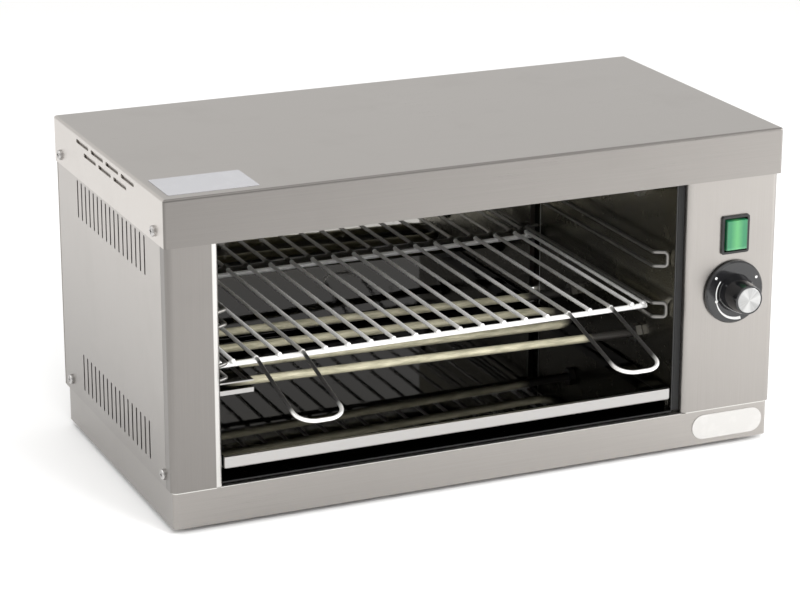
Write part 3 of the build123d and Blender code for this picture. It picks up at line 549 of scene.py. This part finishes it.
@dataclass(frozen=True)
class BrightWire:
    """Plated wire, pale with duller patches."""

    name: str
    colour: Colour = (0.96, 0.955, 0.94)
    roughness: float = 0.32
    metal: float = 0.12
    marks: float = 0.30
    dull: Colour = (0.42, 0.40, 0.36)
    depth: float = 0.02 * MM

    def tone(self, g: Graph) -> tuple[Signal, Signal, Signal]:
        """Adds the colour, roughness and height of the wire to a graph.

        Args:
            g: The graph.

        Returns:
            Colour, roughness and height.
        """
        patch = g.ramp(g.noise(g.place(), 38.0, 4.0, 0.6), 0.48, 0.74)
        fine = g.noise(g.place(), 900.0, 2.0)
        tone = g.blend(patch * self.marks, self.colour, self.dull)
        return tone, self.roughness + patch * 0.14 + fine * 0.05, fine

    def make(self) -> bpy.types.Material:
        """Builds the material.

        Returns:
            The material.
        """
        g = Graph(self.name)
        tone, rough, fine = self.tone(g)
        normal = g.bump(fine, self.depth)
        return g.surface(Base_Color=tone, Metallic=self.metal, Roughness=rough, Normal=normal)


@dataclass(frozen=True)
class HandleWire(BrightWire):
    """Handle wire: pale on the rack and at the grip, black along the arms between."""

    grip_y: float = 0.0
    rack_y: float = 0.0
    arm_black: Colour = (0.030, 0.028, 0.027)
    arm_black_from: tuple[float, float] = (14.0 * MM, 22.0 * MM)
    arm_black_to: tuple[float, float] = (-4.0 * MM, 6.0 * MM)
    ragged: float = 6.0 * MM

    def make(self) -> bpy.types.Material:
        """Builds the material.

        Returns:
            The material.
        """
        g = Graph(self.name)
        tone, rough, fine = self.tone(g)
        _, y, _ = g.axes(g.place())
        ragged = y + g.noise(g.place(), 160.0, 3.0) * self.ragged
        grip = g.ramp(ragged, *(self.grip_y + away for away in self.arm_black_from))
        rack = g.ramp(ragged, *(self.rack_y + away for away in self.arm_black_to))
        arm = (grip * (1.0 - rack)).clamp()
        # The arms between grip and rack are darkened to near black.
        tone = g.blend(arm * 0.96, tone, self.arm_black)
        normal = g.bump(fine, self.depth)
        return g.surface(Base_Color=tone, Metallic=self.metal, Roughness=rough, Normal=normal)


@dataclass(frozen=True)
class RodSheath:
    """Heating rod sheath, olive and mottled along its hot part and dark at its cold tails."""

    name: str
    hot_left: float = -186.0 * MM
    hot_right: float = 118.0 * MM
    blur: tuple[float, float] = (12.0 * MM, 10.0 * MM)
    ragged: float = 12.0 * MM
    hot: Colour = (0.33, 0.31, 0.215)
    mottled: Colour = (0.66, 0.62, 0.46)
    cold: Colour = (0.045, 0.042, 0.038)
    depth: float = 0.08 * MM

    def make(self) -> bpy.types.Material:
        """Builds the material.

        Returns:
            The material.
        """
        g = Graph(self.name)
        x, _, _ = g.axes(g.place())
        edge = g.noise(g.place(), 80.0, 2.0) * self.ragged
        inside = g.ramp(x + edge, self.hot_left, self.hot_left + self.blur[0])
        cooled = g.ramp(x + edge, self.hot_right, self.hot_right + self.blur[1])
        warm = (inside * (1.0 - cooled)).clamp()
        mottle = g.noise(g.place((60.0, 400.0, 400.0)), 1.0, 5.0, 0.65)
        sheath = g.blend(g.ramp(mottle, 0.35, 0.7), self.hot, self.mottled)
        tone = g.blend(warm, self.cold, sheath)
        rough = 0.40 + mottle * 0.18
        metal = 0.55 - warm * 0.35
        normal = g.bump(mottle, self.depth)
        return g.surface(Base_Color=tone, Metallic=metal, Roughness=rough, Normal=normal)


@dataclass(frozen=True)
class Moulded:
    """Moulded plastic or rubber with a fine skin and faint dust."""

    name: str
    colour: Colour
    roughness: float = 0.4
    skin: float = 0.03 * MM
    coat: float = 0.0
    dust: float = 0.5

    def make(self) -> bpy.types.Material:
        """Builds the material.

        Returns:
            The material.
        """
        g = Graph(self.name)
        grain = g.noise(g.place(), 2600.0, 2.0)
        dust = g.ramp(g.noise(g.place(), 120.0, 4.0, 0.6), 0.5, 0.8)
        pale = tuple(min(1.0, c * 1.15 + 0.015) for c in self.colour)
        tone = g.blend(dust * self.dust, self.colour, pale)
        rough = self.roughness + grain * 0.08 + dust * 0.08
        normal = g.bump(grain, self.skin)
        return g.surface(
            Base_Color=tone, Metallic=0.0, Roughness=rough, Normal=normal,
            Coat_Weight=self.coat, Coat_Roughness=0.06,
        )


@dataclass(frozen=True)
class SpunMetal:
    """Turned metal face about an axis along Y, with fine rings and a painted highlight by
    radial sector.
    """

    name: str
    centre: tuple[float, float, float]
    colour: Colour = (0.52, 0.52, 0.515)
    hub: float = 0.1 * MM
    rings_per_metre: float = 3000.0
    depth: float = 0.02 * MM

    def make(self) -> bpy.types.Material:
        """Builds the material.

        Returns:
            The material.
        """
        g = Graph(self.name)
        x, _, z = g.axes(g.place(centre=self.centre))
        radius = (x * x + z * z) ** 0.5
        along = g.node("ShaderNodeCombineXYZ", None, {0: radius * self.rings_per_metre})
        rings = g.noise(along, 1.0, 3.0, 0.6)
        parts = {0: x / (radius + self.hub), 2: z / (radius + self.hub)}
        unit = g.node("ShaderNodeCombineXYZ", None, parts)
        # Painted highlight: the tone changes from one radial sector to the next.
        painted_sheen = g.ramp(g.noise(unit, 1.7, 2.0, 0.5), 0.36, 0.62)
        tone = g.blend(painted_sheen, scaled(self.colour, 0.66), self.colour)
        tone = g.blend(rings * 0.25, tone, scaled(self.colour, 0.75))
        rough = 0.26 + rings * 0.14
        normal = g.bump(rings, self.depth)
        return g.surface(Base_Color=tone, Metallic=1.0, Roughness=rough, Normal=normal)


@dataclass(frozen=True)
class LitLens:
    """Green rocker lens: painted highlight along the middle and at the foot, painted shade at
    its side rims.
    """

    name: str
    centre: tuple[float, float, float]
    half: tuple[float, float]
    colour: Colour = (0.014, 0.150, 0.062)
    bright: Colour = (0.075, 0.290, 0.100)
    foot: Colour = (0.14, 0.38, 0.21)
    rim_shade: Colour = (0.006, 0.060, 0.024)
    core: float = 0.6 * MM
    ragged: float = 1.6 * MM
    depth: float = 0.04 * MM

    def make(self) -> bpy.types.Material:
        """Builds the material.

        Returns:
            The material.
        """
        g = Graph(self.name)
        x, _, z = g.axes(g.place(centre=self.centre))
        frost = g.noise(g.place(), 420.0, 3.0)
        half_x, half_z = self.half
        wander = x + (frost - 0.5) * self.ragged
        streak = 1.0 - g.ramp((wander * wander) ** 0.5, self.core, half_x * 0.62)
        rim_shade = g.ramp((x * x) ** 0.5, half_x * 0.86, half_x * 0.97)
        foot = 1.0 - g.ramp(z, -half_z, -half_z * 0.80)
        tone = g.blend(streak * 0.8, self.colour, self.bright)
        tone = g.blend(foot * 0.5, tone, self.foot)
        tone = g.blend(rim_shade * 0.8, tone, self.rim_shade)
        # Painted glow: the lens emits faintly though it is no lamp.
        return g.surface(
            Base_Color=tone, Metallic=0.0, Roughness=0.30 + frost * 0.12, Emission_Color=tone,
            Emission_Strength=0.06, Coat_Weight=0.25, Coat_Roughness=0.15,
            Normal=g.bump(frost, self.depth),
        )


@dataclass(frozen=True)
class PlainMetal:
    """Small metal parts: plated screws, nuts, blades and shafts."""

    name: str
    colour: Colour
    roughness: float = 0.3
    depth: float = 0.05 * MM

    def make(self) -> bpy.types.Material:
        """Builds the material.

        Returns:
            The material.
        """
        g = Graph(self.name)
        pits = g.noise(g.place(), 500.0, 4.0, 0.6)
        dull = g.ramp(pits, 0.48, 0.7)
        tone = g.blend(dull * 0.6, self.colour, scaled(self.colour, 0.6))
        rough = self.roughness + dull * 0.2
        normal = g.bump(pits, self.depth)
        return g.surface(Base_Color=tone, Metallic=1.0, Roughness=rough, Normal=normal)


@dataclass(frozen=True)
class StudioFloor:
    """Pale matt floor with a barely visible unevenness."""

    name: str
    colour: Colour = (0.92, 0.92, 0.92)

    def make(self) -> bpy.types.Material:
        """Builds the material.

        Returns:
            The material.
        """
        g = Graph(self.name)
        cloud = g.noise(g.place(), 1.5, 3.0)
        tone = g.blend(cloud, self.colour, scaled(self.colour, 0.985))
        rough = 0.6 + cloud * 0.1
        return g.surface(Base_Color=tone, Metallic=0.0, Roughness=rough, Specular_IOR_Level=0.1)


# ------------------------------------------------------------------ help with nodes and meshes


def dress(names: Iterable[str], finish: Finish) -> bpy.types.Material:
    """Gives CAD nodes one new material in every slot.

    Args:
        names: Node names.
        finish: What builds the material.

    Returns:
        The material.
    """
    material = finish.make()
    for name in names:
        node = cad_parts[name]
        if not node.data.materials:
            node.data.materials.append(material)
        for index in range(len(node.data.materials)):
            node.data.materials[index] = material
    return material


def nodes_named(start: str) -> list[str]:
    """Names of the CAD nodes that begin with a word."""
    return [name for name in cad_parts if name.startswith(start)]


def deselect() -> None:
    """Deselects every object."""
    for chosen in list(bpy.context.selected_objects):
        chosen.select_set(False)


def begin_edit(piece: bpy.types.Object) -> None:
    """Opens one object in edit mode with its whole mesh selected.

    Args:
        piece: The object.
    """
    deselect()
    piece.select_set(True)
    bpy.context.view_layer.objects.active = piece
    bpy.ops.object.mode_set(mode="EDIT")
    bpy.ops.mesh.select_all(action="SELECT")


def repeat(offsets: Iterable[Vector]) -> None:
    """Copies the selected part of the mesh in edit mode, each copy moved on from the last.

    Args:
        offsets: The move from each copy to the next.
    """
    for offset in offsets:
        bpy.ops.mesh.duplicate()
        bpy.ops.transform.translate(value=offset)


def steps(places: Sequence[Vector]) -> list[Vector]:
    """The moves that lead from each place to the next."""
    return [after - before for before, after in zip(places, places[1:])]


def finish_piece(name: str, body: str, material: bpy.types.Material) -> None:
    """Leaves edit mode, applies the active object's placement and gives it its material.

    Args:
        name: The piece's name.
        body: The body that it rides on.
        material: Its material.
    """
    if bpy.context.object.mode == "EDIT":
        bpy.ops.object.mode_set(mode="OBJECT")
    piece = bpy.context.object
    bpy.ops.object.transform_apply(location=True, rotation=True, scale=True)
    piece.name = name
    piece.data.name = name
    piece.data.materials.clear()
    piece.data.materials.append(material)
    bpy.ops.object.shade_smooth_by_angle(angle=math.radians(SMOOTH_DEGREES))
    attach(piece, body)
    log.info("piece: %s, %d faces", name, len(piece.data.polygons))


def corners(node: str) -> tuple[Vector, Vector]:
    """Lowest and highest corner of a node at rest."""
    low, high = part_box(node)
    return Vector(low), Vector(high)


# ------------------------------------------------------------------ studio


@dataclass(frozen=True)
class Softbox:
    """Square area light: where it hangs and aims, its edge in metres and its power in watts.

    One that isn't mirrored lights the object without showing in its sheet metal.
    """

    name: str
    place: Point
    aim: Point
    size: float
    power: float
    mirrored: bool = True

    def build(self) -> None:
        """Makes the light."""
        lamp = bpy.data.lights.new(self.name, "AREA")
        lamp.size = self.size
        lamp.energy = self.power
        holder = bpy.data.objects.new(self.name, lamp)
        holder.location = self.place
        direction = Vector(self.aim) - Vector(self.place)
        holder.rotation_mode = "QUATERNION"
        holder.rotation_quaternion = direction.to_track_quat("-Z", "Y")
        holder.visible_glossy = self.mirrored
        bpy.context.scene.collection.objects.link(holder)


SOFTBOXES = (
    Softbox("overhead_softbox", (-0.2, -0.5, 2.2), (0.0, 0.0, 0.1), 2.2, 13.0),
    Softbox("left_back_softbox", (-2.0, 0.9, 1.4), (-0.7, 0.5, 0.0), 1.3, 15.0),
    Softbox("right_softbox", (2.1, -0.9, 0.7), (0.2, -0.1, 0.12), 1.1, 17.0),
    Softbox("low_right_softbox", (1.3, -0.9, 0.6), (0.45, -0.45, 0.0), 0.5, 8.0),
    Softbox("front_softbox", (-0.6, -2.3, 1.45), (0.0, 0.0, 0.10), 1.0, 20.0, mirrored=False),
    Softbox("mouth_softbox", (0.1, -1.0, 0.78), (0.0, 0.0, 0.11), 0.3, 5.5, mirrored=False),
)


@dataclass
class Studio:
    """Pale floor, even sky, softboxes and the camera at the photograph's viewpoint."""

    floor_size: float = 16.0
    sky: float = 0.84
    sky_colour: Colour = (1.0, 0.995, 0.985)
    azimuth: float = -23.58
    elevation: float = 18.19
    lens: float = 127.35
    sensor: float = 36.0
    sight: tuple[float, float] = (0.05, 60.0)
    eye: Point = (-0.856, -1.9095, 0.805)

    def build(self) -> None:
        """Makes the floor, the sky, the lights and the camera."""
        self._floor()
        self._sky()
        for softbox in SOFTBOXES:
            softbox.build()
        self._camera()
        log.info("studio: floor, sky, %d softboxes and the camera", len(SOFTBOXES))

    def _floor(self) -> None:
        """Makes the floor."""
        deselect()
        bpy.ops.mesh.primitive_plane_add(size=self.floor_size, location=(0.0, 0.0, 0.0))
        floor = bpy.context.object
        floor.name = "studio_floor"
        floor.data.materials.append(StudioFloor("studio_floor").make())

    def _sky(self) -> None:
        """Makes the even pale sky."""
        world = bpy.data.worlds.new("studio_sky")
        bpy.context.scene.world = world
        world.use_nodes = True
        background = world.node_tree.nodes["Background"]
        background.inputs["Color"].default_value = (*self.sky_colour, 1.0)
        background.inputs["Strength"].default_value = self.sky

    def _camera(self) -> None:
        """Makes the camera at the photograph's viewpoint."""
        data = bpy.data.cameras.new("camera")
        data.lens = self.lens
        data.sensor_width = self.sensor
        data.clip_start, data.clip_end = self.sight
        camera = bpy.data.objects.new("camera", data)
        turn, lift = math.radians(self.azimuth), math.radians(self.elevation)
        flat = math.cos(lift)
        back = Vector((math.sin(turn) * flat, -math.cos(turn) * flat, math.sin(lift)))
        camera.location = self.eye
        camera.rotation_mode = "QUATERNION"
        camera.rotation_quaternion = (-back).to_track_quat("-Z", "Y")
        bpy.context.scene.collection.objects.link(camera)
        bpy.context.scene.camera = camera
        bpy.context.scene.view_settings.view_transform = "Standard"


# ------------------------------------------------------------------ sub-assemblies


@dataclass
class Housing:
    """Outer sheet metal with its pressed vents, feet, screws, plates and gland."""

    louvre_count: int = 17
    louvre_pitch: float = 9.9 * MM
    louvre_half: float = 14.2 * MM
    louvre_back: float = 1.2 * MM
    louvre_forward: float = 1.5 * MM
    louvre_low: float = 26.5 * MM
    louvre_high: float = 54.0 * MM
    louvre_reach: float = 2.0 * MM
    blade_thick: float = 0.35 * MM
    blade_steps: int = 4
    seam: float = 0.6 * MM
    # Fades of painted shade: the hood's front skirt, the tub and the front frame darker towards
    # the left, the side panels darker towards the bottom.
    hood_fade: tuple[float, float] = (0.45, 0.64)
    tub_fade: tuple[float, float] = (0.70, 0.92)
    mouth_fade: tuple[float, float] = (0.50, 0.82)
    side_fade: tuple[float, float] = (0.62, 1.0)
    side_span: tuple[float, float] = (0.03, 0.20)

    def build(self) -> None:
        """Dresses the outer pieces and presses the louvre blades."""
        self._dress_sheets()
        self._dress_small()
        panel = dress(["back_panel"], BrushedSteel("panel_steel", Grain.ALONG_Z))
        for side, inward in (("left", 1.0), ("right", -1.0)):
            self._blades(side, inward, panel)

    def _dress_sheets(self) -> None:
        """Gives the sheets their steel, each with its own fade of painted shade."""
        low, _ = corners("hood_cover")
        hood = HoodSteel(
            "hood_steel", Grain.ALONG_X, fade=self.hood_fade, front_y=low.y, side_x=low.x
        )
        dress(["hood_cover"], hood)
        low, _ = corners("front_frame")
        tub = TubSteel(
            "tub_steel", Grain.ALONG_X, fade=self.tub_fade, sill_z=low.z - self.seam
        )
        dress(["base_tub", "floor_rail_left", "floor_rail_right"], tub)
        low, _ = corners("chamber_floor")
        mouth = MouthSteel("mouth_steel", Grain.ALONG_Z, fade=self.mouth_fade, edge_x=low.x)
        dress(["front_frame"], mouth)
        foot, top = self.side_span
        sides = BrushedSteel(
            "side_steel", Grain.ALONG_Z, fade=self.side_fade, fade_axis=2, fade_from=foot,
            fade_to=top,
        )
        dress(["side_panel_left", "side_panel_right"], sides)

    def _dress_small(self) -> None:
        """Gives the screws, feet, plates and gland their finishes."""
        screw = PlainMetal("zinc_screw", (0.50, 0.49, 0.48))
        dress(["side_screws", "hood_screws", "back_screws"], screw)
        dress(nodes_named("foot_"), Moulded("foot_rubber", (0.02, 0.02, 0.02), 0.7))
        dress(["blank_label"], Moulded("label_film", (0.36, 0.36, 0.375), 0.5))
        badge = Moulded("badge_enamel", (0.45, 0.44, 0.425), 0.35, coat=0.2)
        dress(["blank_badge"], badge)
        dress(["cord_gland", "gland_nut"], Moulded("gland_plastic", (0.02, 0.02, 0.02), 0.5))

    def _blades(self, side: str, inward: float, material: bpy.types.Material) -> None:
        """Presses the louvre blades of one side panel.

        Args:
            side: left or right.
            inward: Direction along X into the housing.
            material: The blades' material.
        """
        low, high = corners(f"side_panel_{side}")
        hood_low, hood_high = corners("hood_cover")
        outer = low.x if side == "left" else high.x
        middle = (hood_low.y + hood_high.y) / 2 + self.louvre_forward
        first = middle - (self.louvre_count - 1) / 2 * self.louvre_pitch
        lower = low.z + self.louvre_low - self.louvre_back
        upper = hood_high.z - self.louvre_high
        start = Vector((outer + inward * self.blade_thick, first + self.louvre_back, lower))
        deselect()
        bpy.ops.mesh.primitive_plane_add(
            size=2 * self.louvre_half, location=start, rotation=(math.radians(90.0), 0, 0)
        )
        blade = bpy.context.object
        bpy.ops.object.transform_apply(location=True, rotation=True, scale=True)
        begin_edit(blade)
        narrow = self.blade_thick / (2 * self.louvre_half)
        bpy.ops.transform.resize(value=(narrow, 1.0, 1.0), center_override=start)
        reach = inward * self.louvre_reach / self.blade_steps
        slant = -2 * self.louvre_back / self.blade_steps
        for _ in range(self.blade_steps):
            bpy.ops.mesh.extrude_region_move(
                TRANSFORM_OT_translate={"value": (reach, slant, 0.0)}
            )
        bpy.ops.mesh.select_all(action="SELECT")
        repeat([Vector((0.0, self.louvre_pitch, 0.0))] * (self.louvre_count - 1))
        bpy.ops.mesh.select_all(action="SELECT")
        repeat([Vector((0.0, 0.0, upper - lower))])
        bpy.ops.mesh.select_all(action="SELECT")
        bpy.ops.mesh.normals_make_consistent(inside=False)
        finish_piece(f"louvre_blades_{side}", "body", material)


@dataclass
class Chamber:
    """Liner sheets, seal, tray rails and crumb tray."""

    back_line: float = 2.5 * MM
    right_line: float = 9.0 * MM

    def build(self) -> None:
        """Gives the chamber its finishes."""
        # The liner sheets are one steel in lit and shaded copies, darkened as painted shade:
        # the back and right walls paler, the left wall, floor and rails darker, the ceiling
        # darkest. The back and right walls carry painted highlights along their fold lines.
        right_low, _ = corners("chamber_wall_right")
        back_low, _ = corners("chamber_back_wall")
        back = ChamberSteel(
            "back_wall_steel", (0.30, 0.295, 0.29), (0.31, 0.295, 0.235),
            fold=right_low.x - self.back_line,
        )
        dress(["chamber_back_wall"], back)
        dress(["chamber_wall_left"], ChamberSteel("left_wall_steel", (0.16, 0.157, 0.15)))
        ceiling = ChamberSteel("ceiling_steel", (0.05, 0.048, 0.045), (0.05, 0.045, 0.035))
        dress(["chamber_ceiling"], ceiling)
        right = ChamberSteel(
            "right_wall_steel", (0.24, 0.23, 0.20), (0.29, 0.265, 0.175), roughness=0.26,
            stains=0.25, edge_y=right_low.y, fold_axis=1, fold=back_low.y - self.right_line,
        )
        dress(["chamber_wall_right"], right)
        low, _ = corners("chamber_floor")
        floor = ChamberSteel(
            "floor_steel", (0.12, 0.12, 0.12), (0.12, 0.11, 0.10), roughness=0.20, stains=0.2,
            edge_y=low.y,
        )
        dress(["chamber_floor"], floor)
        low, _ = corners("crumb_tray")
        tray = TraySteel("tray_steel", (0.060, 0.059, 0.058), front=low.y, stains=0.20)
        dress(["crumb_tray"], tray)
        dress(["tray_rail_left", "tray_rail_right"], ChamberSteel("rail_steel"))
        # The seal is black rubber, kept near black as painted shade for the gap that it closes.
        dress(["chamber_seal"], Moulded("seal_rubber", (0.008, 0.008, 0.008), 0.6, dust=0.2))


@dataclass
class Heating:
    """Heating rods, their holders and tail fittings."""

    holder_lip: float = 1.2 * MM

    def build(self) -> None:
        """Gives the rods and fittings their finishes."""
        dress(["lower_element", "upper_element"], RodSheath("rod_sheath"))
        for level in ("lower", "upper"):
            low, _ = corners(f"{level}_element_holder")
            holder = TraySteel(
                f"{level}_holder_steel", (0.060, 0.058, 0.055), front=low.y,
                lip_depth=self.holder_lip,
            )
            dress([f"{level}_element_holder"], holder)
        dress(["element_nuts"], PlainMetal("nut_plate", (0.42, 0.41, 0.39)))
        dress(["element_insulators"], Moulded("insulator_ceramic", (0.75, 0.72, 0.65), 0.6))
        dress(["element_terminals"], PlainMetal("terminal_brass", (0.72, 0.55, 0.28)))


@dataclass
class Rack:
    """Wire rack, its handles and weld beads, and the four runners."""

    wire_count: int = 19
    wire: float = 3.0 * MM
    crossbar: float = 4.0 * MM
    bar_overhang: float = 3.5 * MM
    side_gap: float = 10.3 * MM
    tip_overhang: float = 3.5 * MM
    tip_bead: float = 2.0 * MM
    weld_bead: float = 2.1 * MM
    uneven: float = 0.05

    def build(self) -> None:
        """Dresses the wires and adds the beads."""
        wire = dress(["rack_grid"], BrightWire("rack_wire"))
        grid_low, grid_high = corners("rack_grid")
        for side in ("left", "right"):
            low, _ = corners(f"rack_handle_{side}")
            handle = HandleWire(
                f"handle_wire_{side}", (0.86, 0.85, 0.83), metal=0.6, grip_y=low.y,
                rack_y=grid_low.y,
            )
            dress([f"rack_handle_{side}"], handle)
        runner = BrightWire("runner_wire", (0.22, 0.215, 0.205), roughness=0.34, metal=0.9)
        dress(nodes_named("rack_runner"), runner)
        self._tips(grid_low, grid_high, wire)
        self._welds(grid_low, grid_high, wire)

    def _wires(self, low: Vector, high: Vector) -> list[float]:
        """Works out where the deck wires lie.

        Args:
            low: Lowest corner of the grid.
            high: Highest corner of the grid.

        Returns:
            The X of each wire, with the two edge wires first and last.
        """
        left, right = low.x + self.bar_overhang, high.x - self.bar_overhang
        first, last = left + self.side_gap, right - self.side_gap
        pitch = (last - first) / (self.wire_count - 1)
        return [left] + [first + number * pitch for number in range(self.wire_count)] + [right]

    def _bead(self, place: Vector, radius: float, flat: Point) -> None:
        """Starts a bead in edit mode.

        Args:
            place: Its centre.
            radius: Its radius before it is flattened.
            flat: Scale along each axis.
        """
        deselect()
        bpy.ops.mesh.primitive_uv_sphere_add(
            segments=12, ring_count=8, radius=radius, location=place
        )
        bead = bpy.context.object
        bpy.ops.object.transform_apply(location=True, rotation=True, scale=True)
        begin_edit(bead)
        bpy.ops.transform.resize(value=flat, center_override=place)
        bpy.ops.transform.vertex_random(offset=radius * self.uneven, seed=4)

    def _tips(self, low: Vector, high: Vector, material: bpy.types.Material) -> None:
        """Adds the melted tips of the deck wires.

        Args:
            low: Lowest corner of the grid.
            high: Highest corner of the grid.
            material: The wire's finish.
        """
        deck_z = high.z - self.wire / 2
        wires = self._wires(low, high)
        places = [Vector((x, low.y + self.wire / 3, deck_z)) for x in wires]
        places += [Vector((x, high.y - self.wire / 3, deck_z)) for x in reversed(wires)]
        self._bead(places[0], self.tip_bead, (1.0, 0.72, 0.95))
        repeat(steps(places))
        finish_piece("rack_wire_tips", "rack", material)

    def _welds(self, low: Vector, high: Vector, material: bpy.types.Material) -> None:
        """Adds the weld beads between the deck wires and the crossbars.

        Args:
            low: Lowest corner of the grid.
            high: Highest corner of the grid.
            material: The wire's finish.
        """
        bar_top = low.z + self.crossbar
        wires = self._wires(low, high)
        front, back = low.y + self.tip_overhang, high.y - self.tip_overhang
        places = [Vector((x, front, bar_top)) for x in wires]
        places += [Vector((x, back, bar_top)) for x in reversed(wires)]
        self._bead(places[0], self.weld_bead, (1.1, 1.0, 0.42))
        repeat(steps(places))
        finish_piece("rack_weld_beads", "rack", material)


@dataclass
class Controls:
    """Timer knob with its printed scale, rocker switch and the wiring behind them."""

    skirt_thick: float = 3.0 * MM
    print_thick: float = 0.10 * MM
    dot_radius: float = 1.1 * MM
    dot_places: tuple[tuple[float, float], ...] = ((21.6, 142.0), (21.0, 29.0))
    arc_radius: float = 16.6 * MM
    arc_span: tuple[float, float] = (142.0, 197.0)
    arc_width: float = 0.9 * MM
    band_span: tuple[float, float] = (203.0, 285.0)
    band_inner: tuple[float, float] = (16.9 * MM, 20.6 * MM)
    band_outer: tuple[float, float] = (17.6 * MM, 23.0 * MM)
    stop_place: tuple[float, float] = (17.0, 199.0)
    stop_gain: float = 1.2
    lens_half: tuple[float, float] = (9.1 * MM, 11.6 * MM)

    def build(self) -> None:
        """Dresses the controls and prints the knob's scale."""
        knob = Moulded("knob_plastic", (0.006, 0.006, 0.007), 0.10, 0.01 * MM, 0.35, dust=0.15)
        dress(["knob_body"], knob)
        low, high = corners("knob_cap")
        axis = (low + high) / 2
        dress(["knob_cap"], SpunMetal("knob_cap_metal", tuple(axis)))
        black = Moulded("switch_plastic", (0.008, 0.008, 0.008), 0.32, dust=0.2)
        dress(["switch_housing", "timer_body"], black)
        low, high = corners("rocker")
        dress(["rocker"], LitLens("rocker_lens", tuple((low + high) / 2), self.lens_half))
        plated = PlainMetal("plated_nut", (0.6, 0.6, 0.58))
        dress(["timer_nut", "timer_shaft", "terminal_block_screws"], plated)
        brass = PlainMetal("blade_brass", (0.72, 0.55, 0.28))
        dress(["switch_terminals", "timer_terminals"], brass)
        dress(["terminal_block"], Moulded("block_plastic", (0.72, 0.70, 0.64), 0.4))
        dress(["wiring"], Moulded("lead_sleeve", (0.42, 0.06, 0.035), 0.5))
        self._scale(axis)

    def _scale(self, centre: Vector) -> None:
        """Prints the dots, the stop mark, the arc and the tapered band on the knob's skirt.

        Args:
            centre: A point on the knob's axis.
        """
        ink = Moulded("dial_print", (0.62, 0.62, 0.61), 0.45, dust=0.8).make()
        _, high = corners("knob_body")
        face = high.y - self.skirt_thick - self.print_thick / 2
        axis = Vector((centre.x, face, centre.z))
        for number, (radius, angle) in enumerate(self.dot_places):
            self._dot(f"dial_dot_{number + 1}", axis, radius * MM, angle, self.dot_radius, ink)
        radius, angle = self.stop_place
        size = self.dot_radius * self.stop_gain
        self._dot("dial_stop", axis, radius * MM, angle, size, ink)
        half = self.arc_width / 2
        thin = (self.arc_radius - half, self.arc_radius - half)
        wide = (self.arc_radius + half, self.arc_radius + half)
        self._band("dial_arc", axis, self.arc_span, thin, wide, ink)
        self._band("dial_taper", axis, self.band_span, self.band_inner, self.band_outer, ink)

    def _around(self, axis: Vector, radius: float, angle: float) -> Vector:
        """Point on the skirt at a radius and an angle.

        Args:
            axis: The skirt's centre on its front face.
            radius: Distance from the centre in metres.
            angle: Degrees from the right, going up first.

        Returns:
            The point.
        """
        turn = math.radians(angle)
        return axis + Vector((math.cos(turn) * radius, 0.0, math.sin(turn) * radius))

    def _dot(
        self,
        name: str,
        axis: Vector,
        radius: float,
        angle: float,
        size: float,
        ink: bpy.types.Material,
    ) -> None:
        """Prints one round dot with a bevelled edge.

        Args:
            name: The piece's name.
            axis: The skirt's centre on its front face.
            radius: Distance of the dot from the centre.
            angle: Its angle in degrees.
            size: Its own radius.
            ink: Its material.
        """
        deselect()
        place = self._around(axis, radius, angle)
        bpy.ops.mesh.primitive_cylinder_add(
            vertices=24, radius=size, depth=self.print_thick, location=place,
            rotation=(math.radians(90.0), 0, 0),
        )
        bpy.ops.object.transform_apply(location=True, rotation=True, scale=True)
        begin_edit(bpy.context.object)
        bpy.ops.mesh.bevel(offset=self.print_thick * 0.3, segments=2)
        finish_piece(name, "knob", ink)

    def _band(
        self,
        name: str,
        axis: Vector,
        span: tuple[float, float],
        inner: tuple[float, float],
        outer: tuple[float, float],
        ink: bpy.types.Material,
    ) -> None:
        """Prints a curved band whose two edges may each change radius along it.

        Args:
            name: The piece's name.
            axis: The skirt's centre on its front face.
            span: First and last angle in degrees.
            inner: Inner radius at each end.
            outer: Outer radius at each end.
            ink: Its material.
        """
        deselect()
        bpy.ops.mesh.primitive_plane_add(size=1.0, location=(0.0, 0.0, 0.0))
        band = bpy.context.object
        begin_edit(band)
        bpy.ops.mesh.subdivide(number_cuts=23)
        bpy.ops.object.mode_set(mode="OBJECT")
        for point in band.data.vertices:
            along, across = point.co.x + 0.5, point.co.y + 0.5
            low = inner[0] + (inner[1] - inner[0]) * along
            high = outer[0] + (outer[1] - outer[0]) * along
            angle = span[0] + (span[1] - span[0]) * along
            point.co = self._around(axis, low + (high - low) * across, angle)
        thicken = band.modifiers.new("thicken", "SOLIDIFY")
        thicken.thickness = self.print_thick
        thicken.offset = 0.0
        bpy.ops.object.modifier_apply(modifier="thicken")
        finish_piece(name, "knob", ink)


def main() -> None:
    """Builds the studio and every sub-assembly in order."""
    Studio().build()
    for assembly in (Housing(), Chamber(), Heating(), Rack(), Controls()):
        assembly.build()
        log.info("built: %s", type(assembly).__name__)


if __name__ == "__main__":
    main()
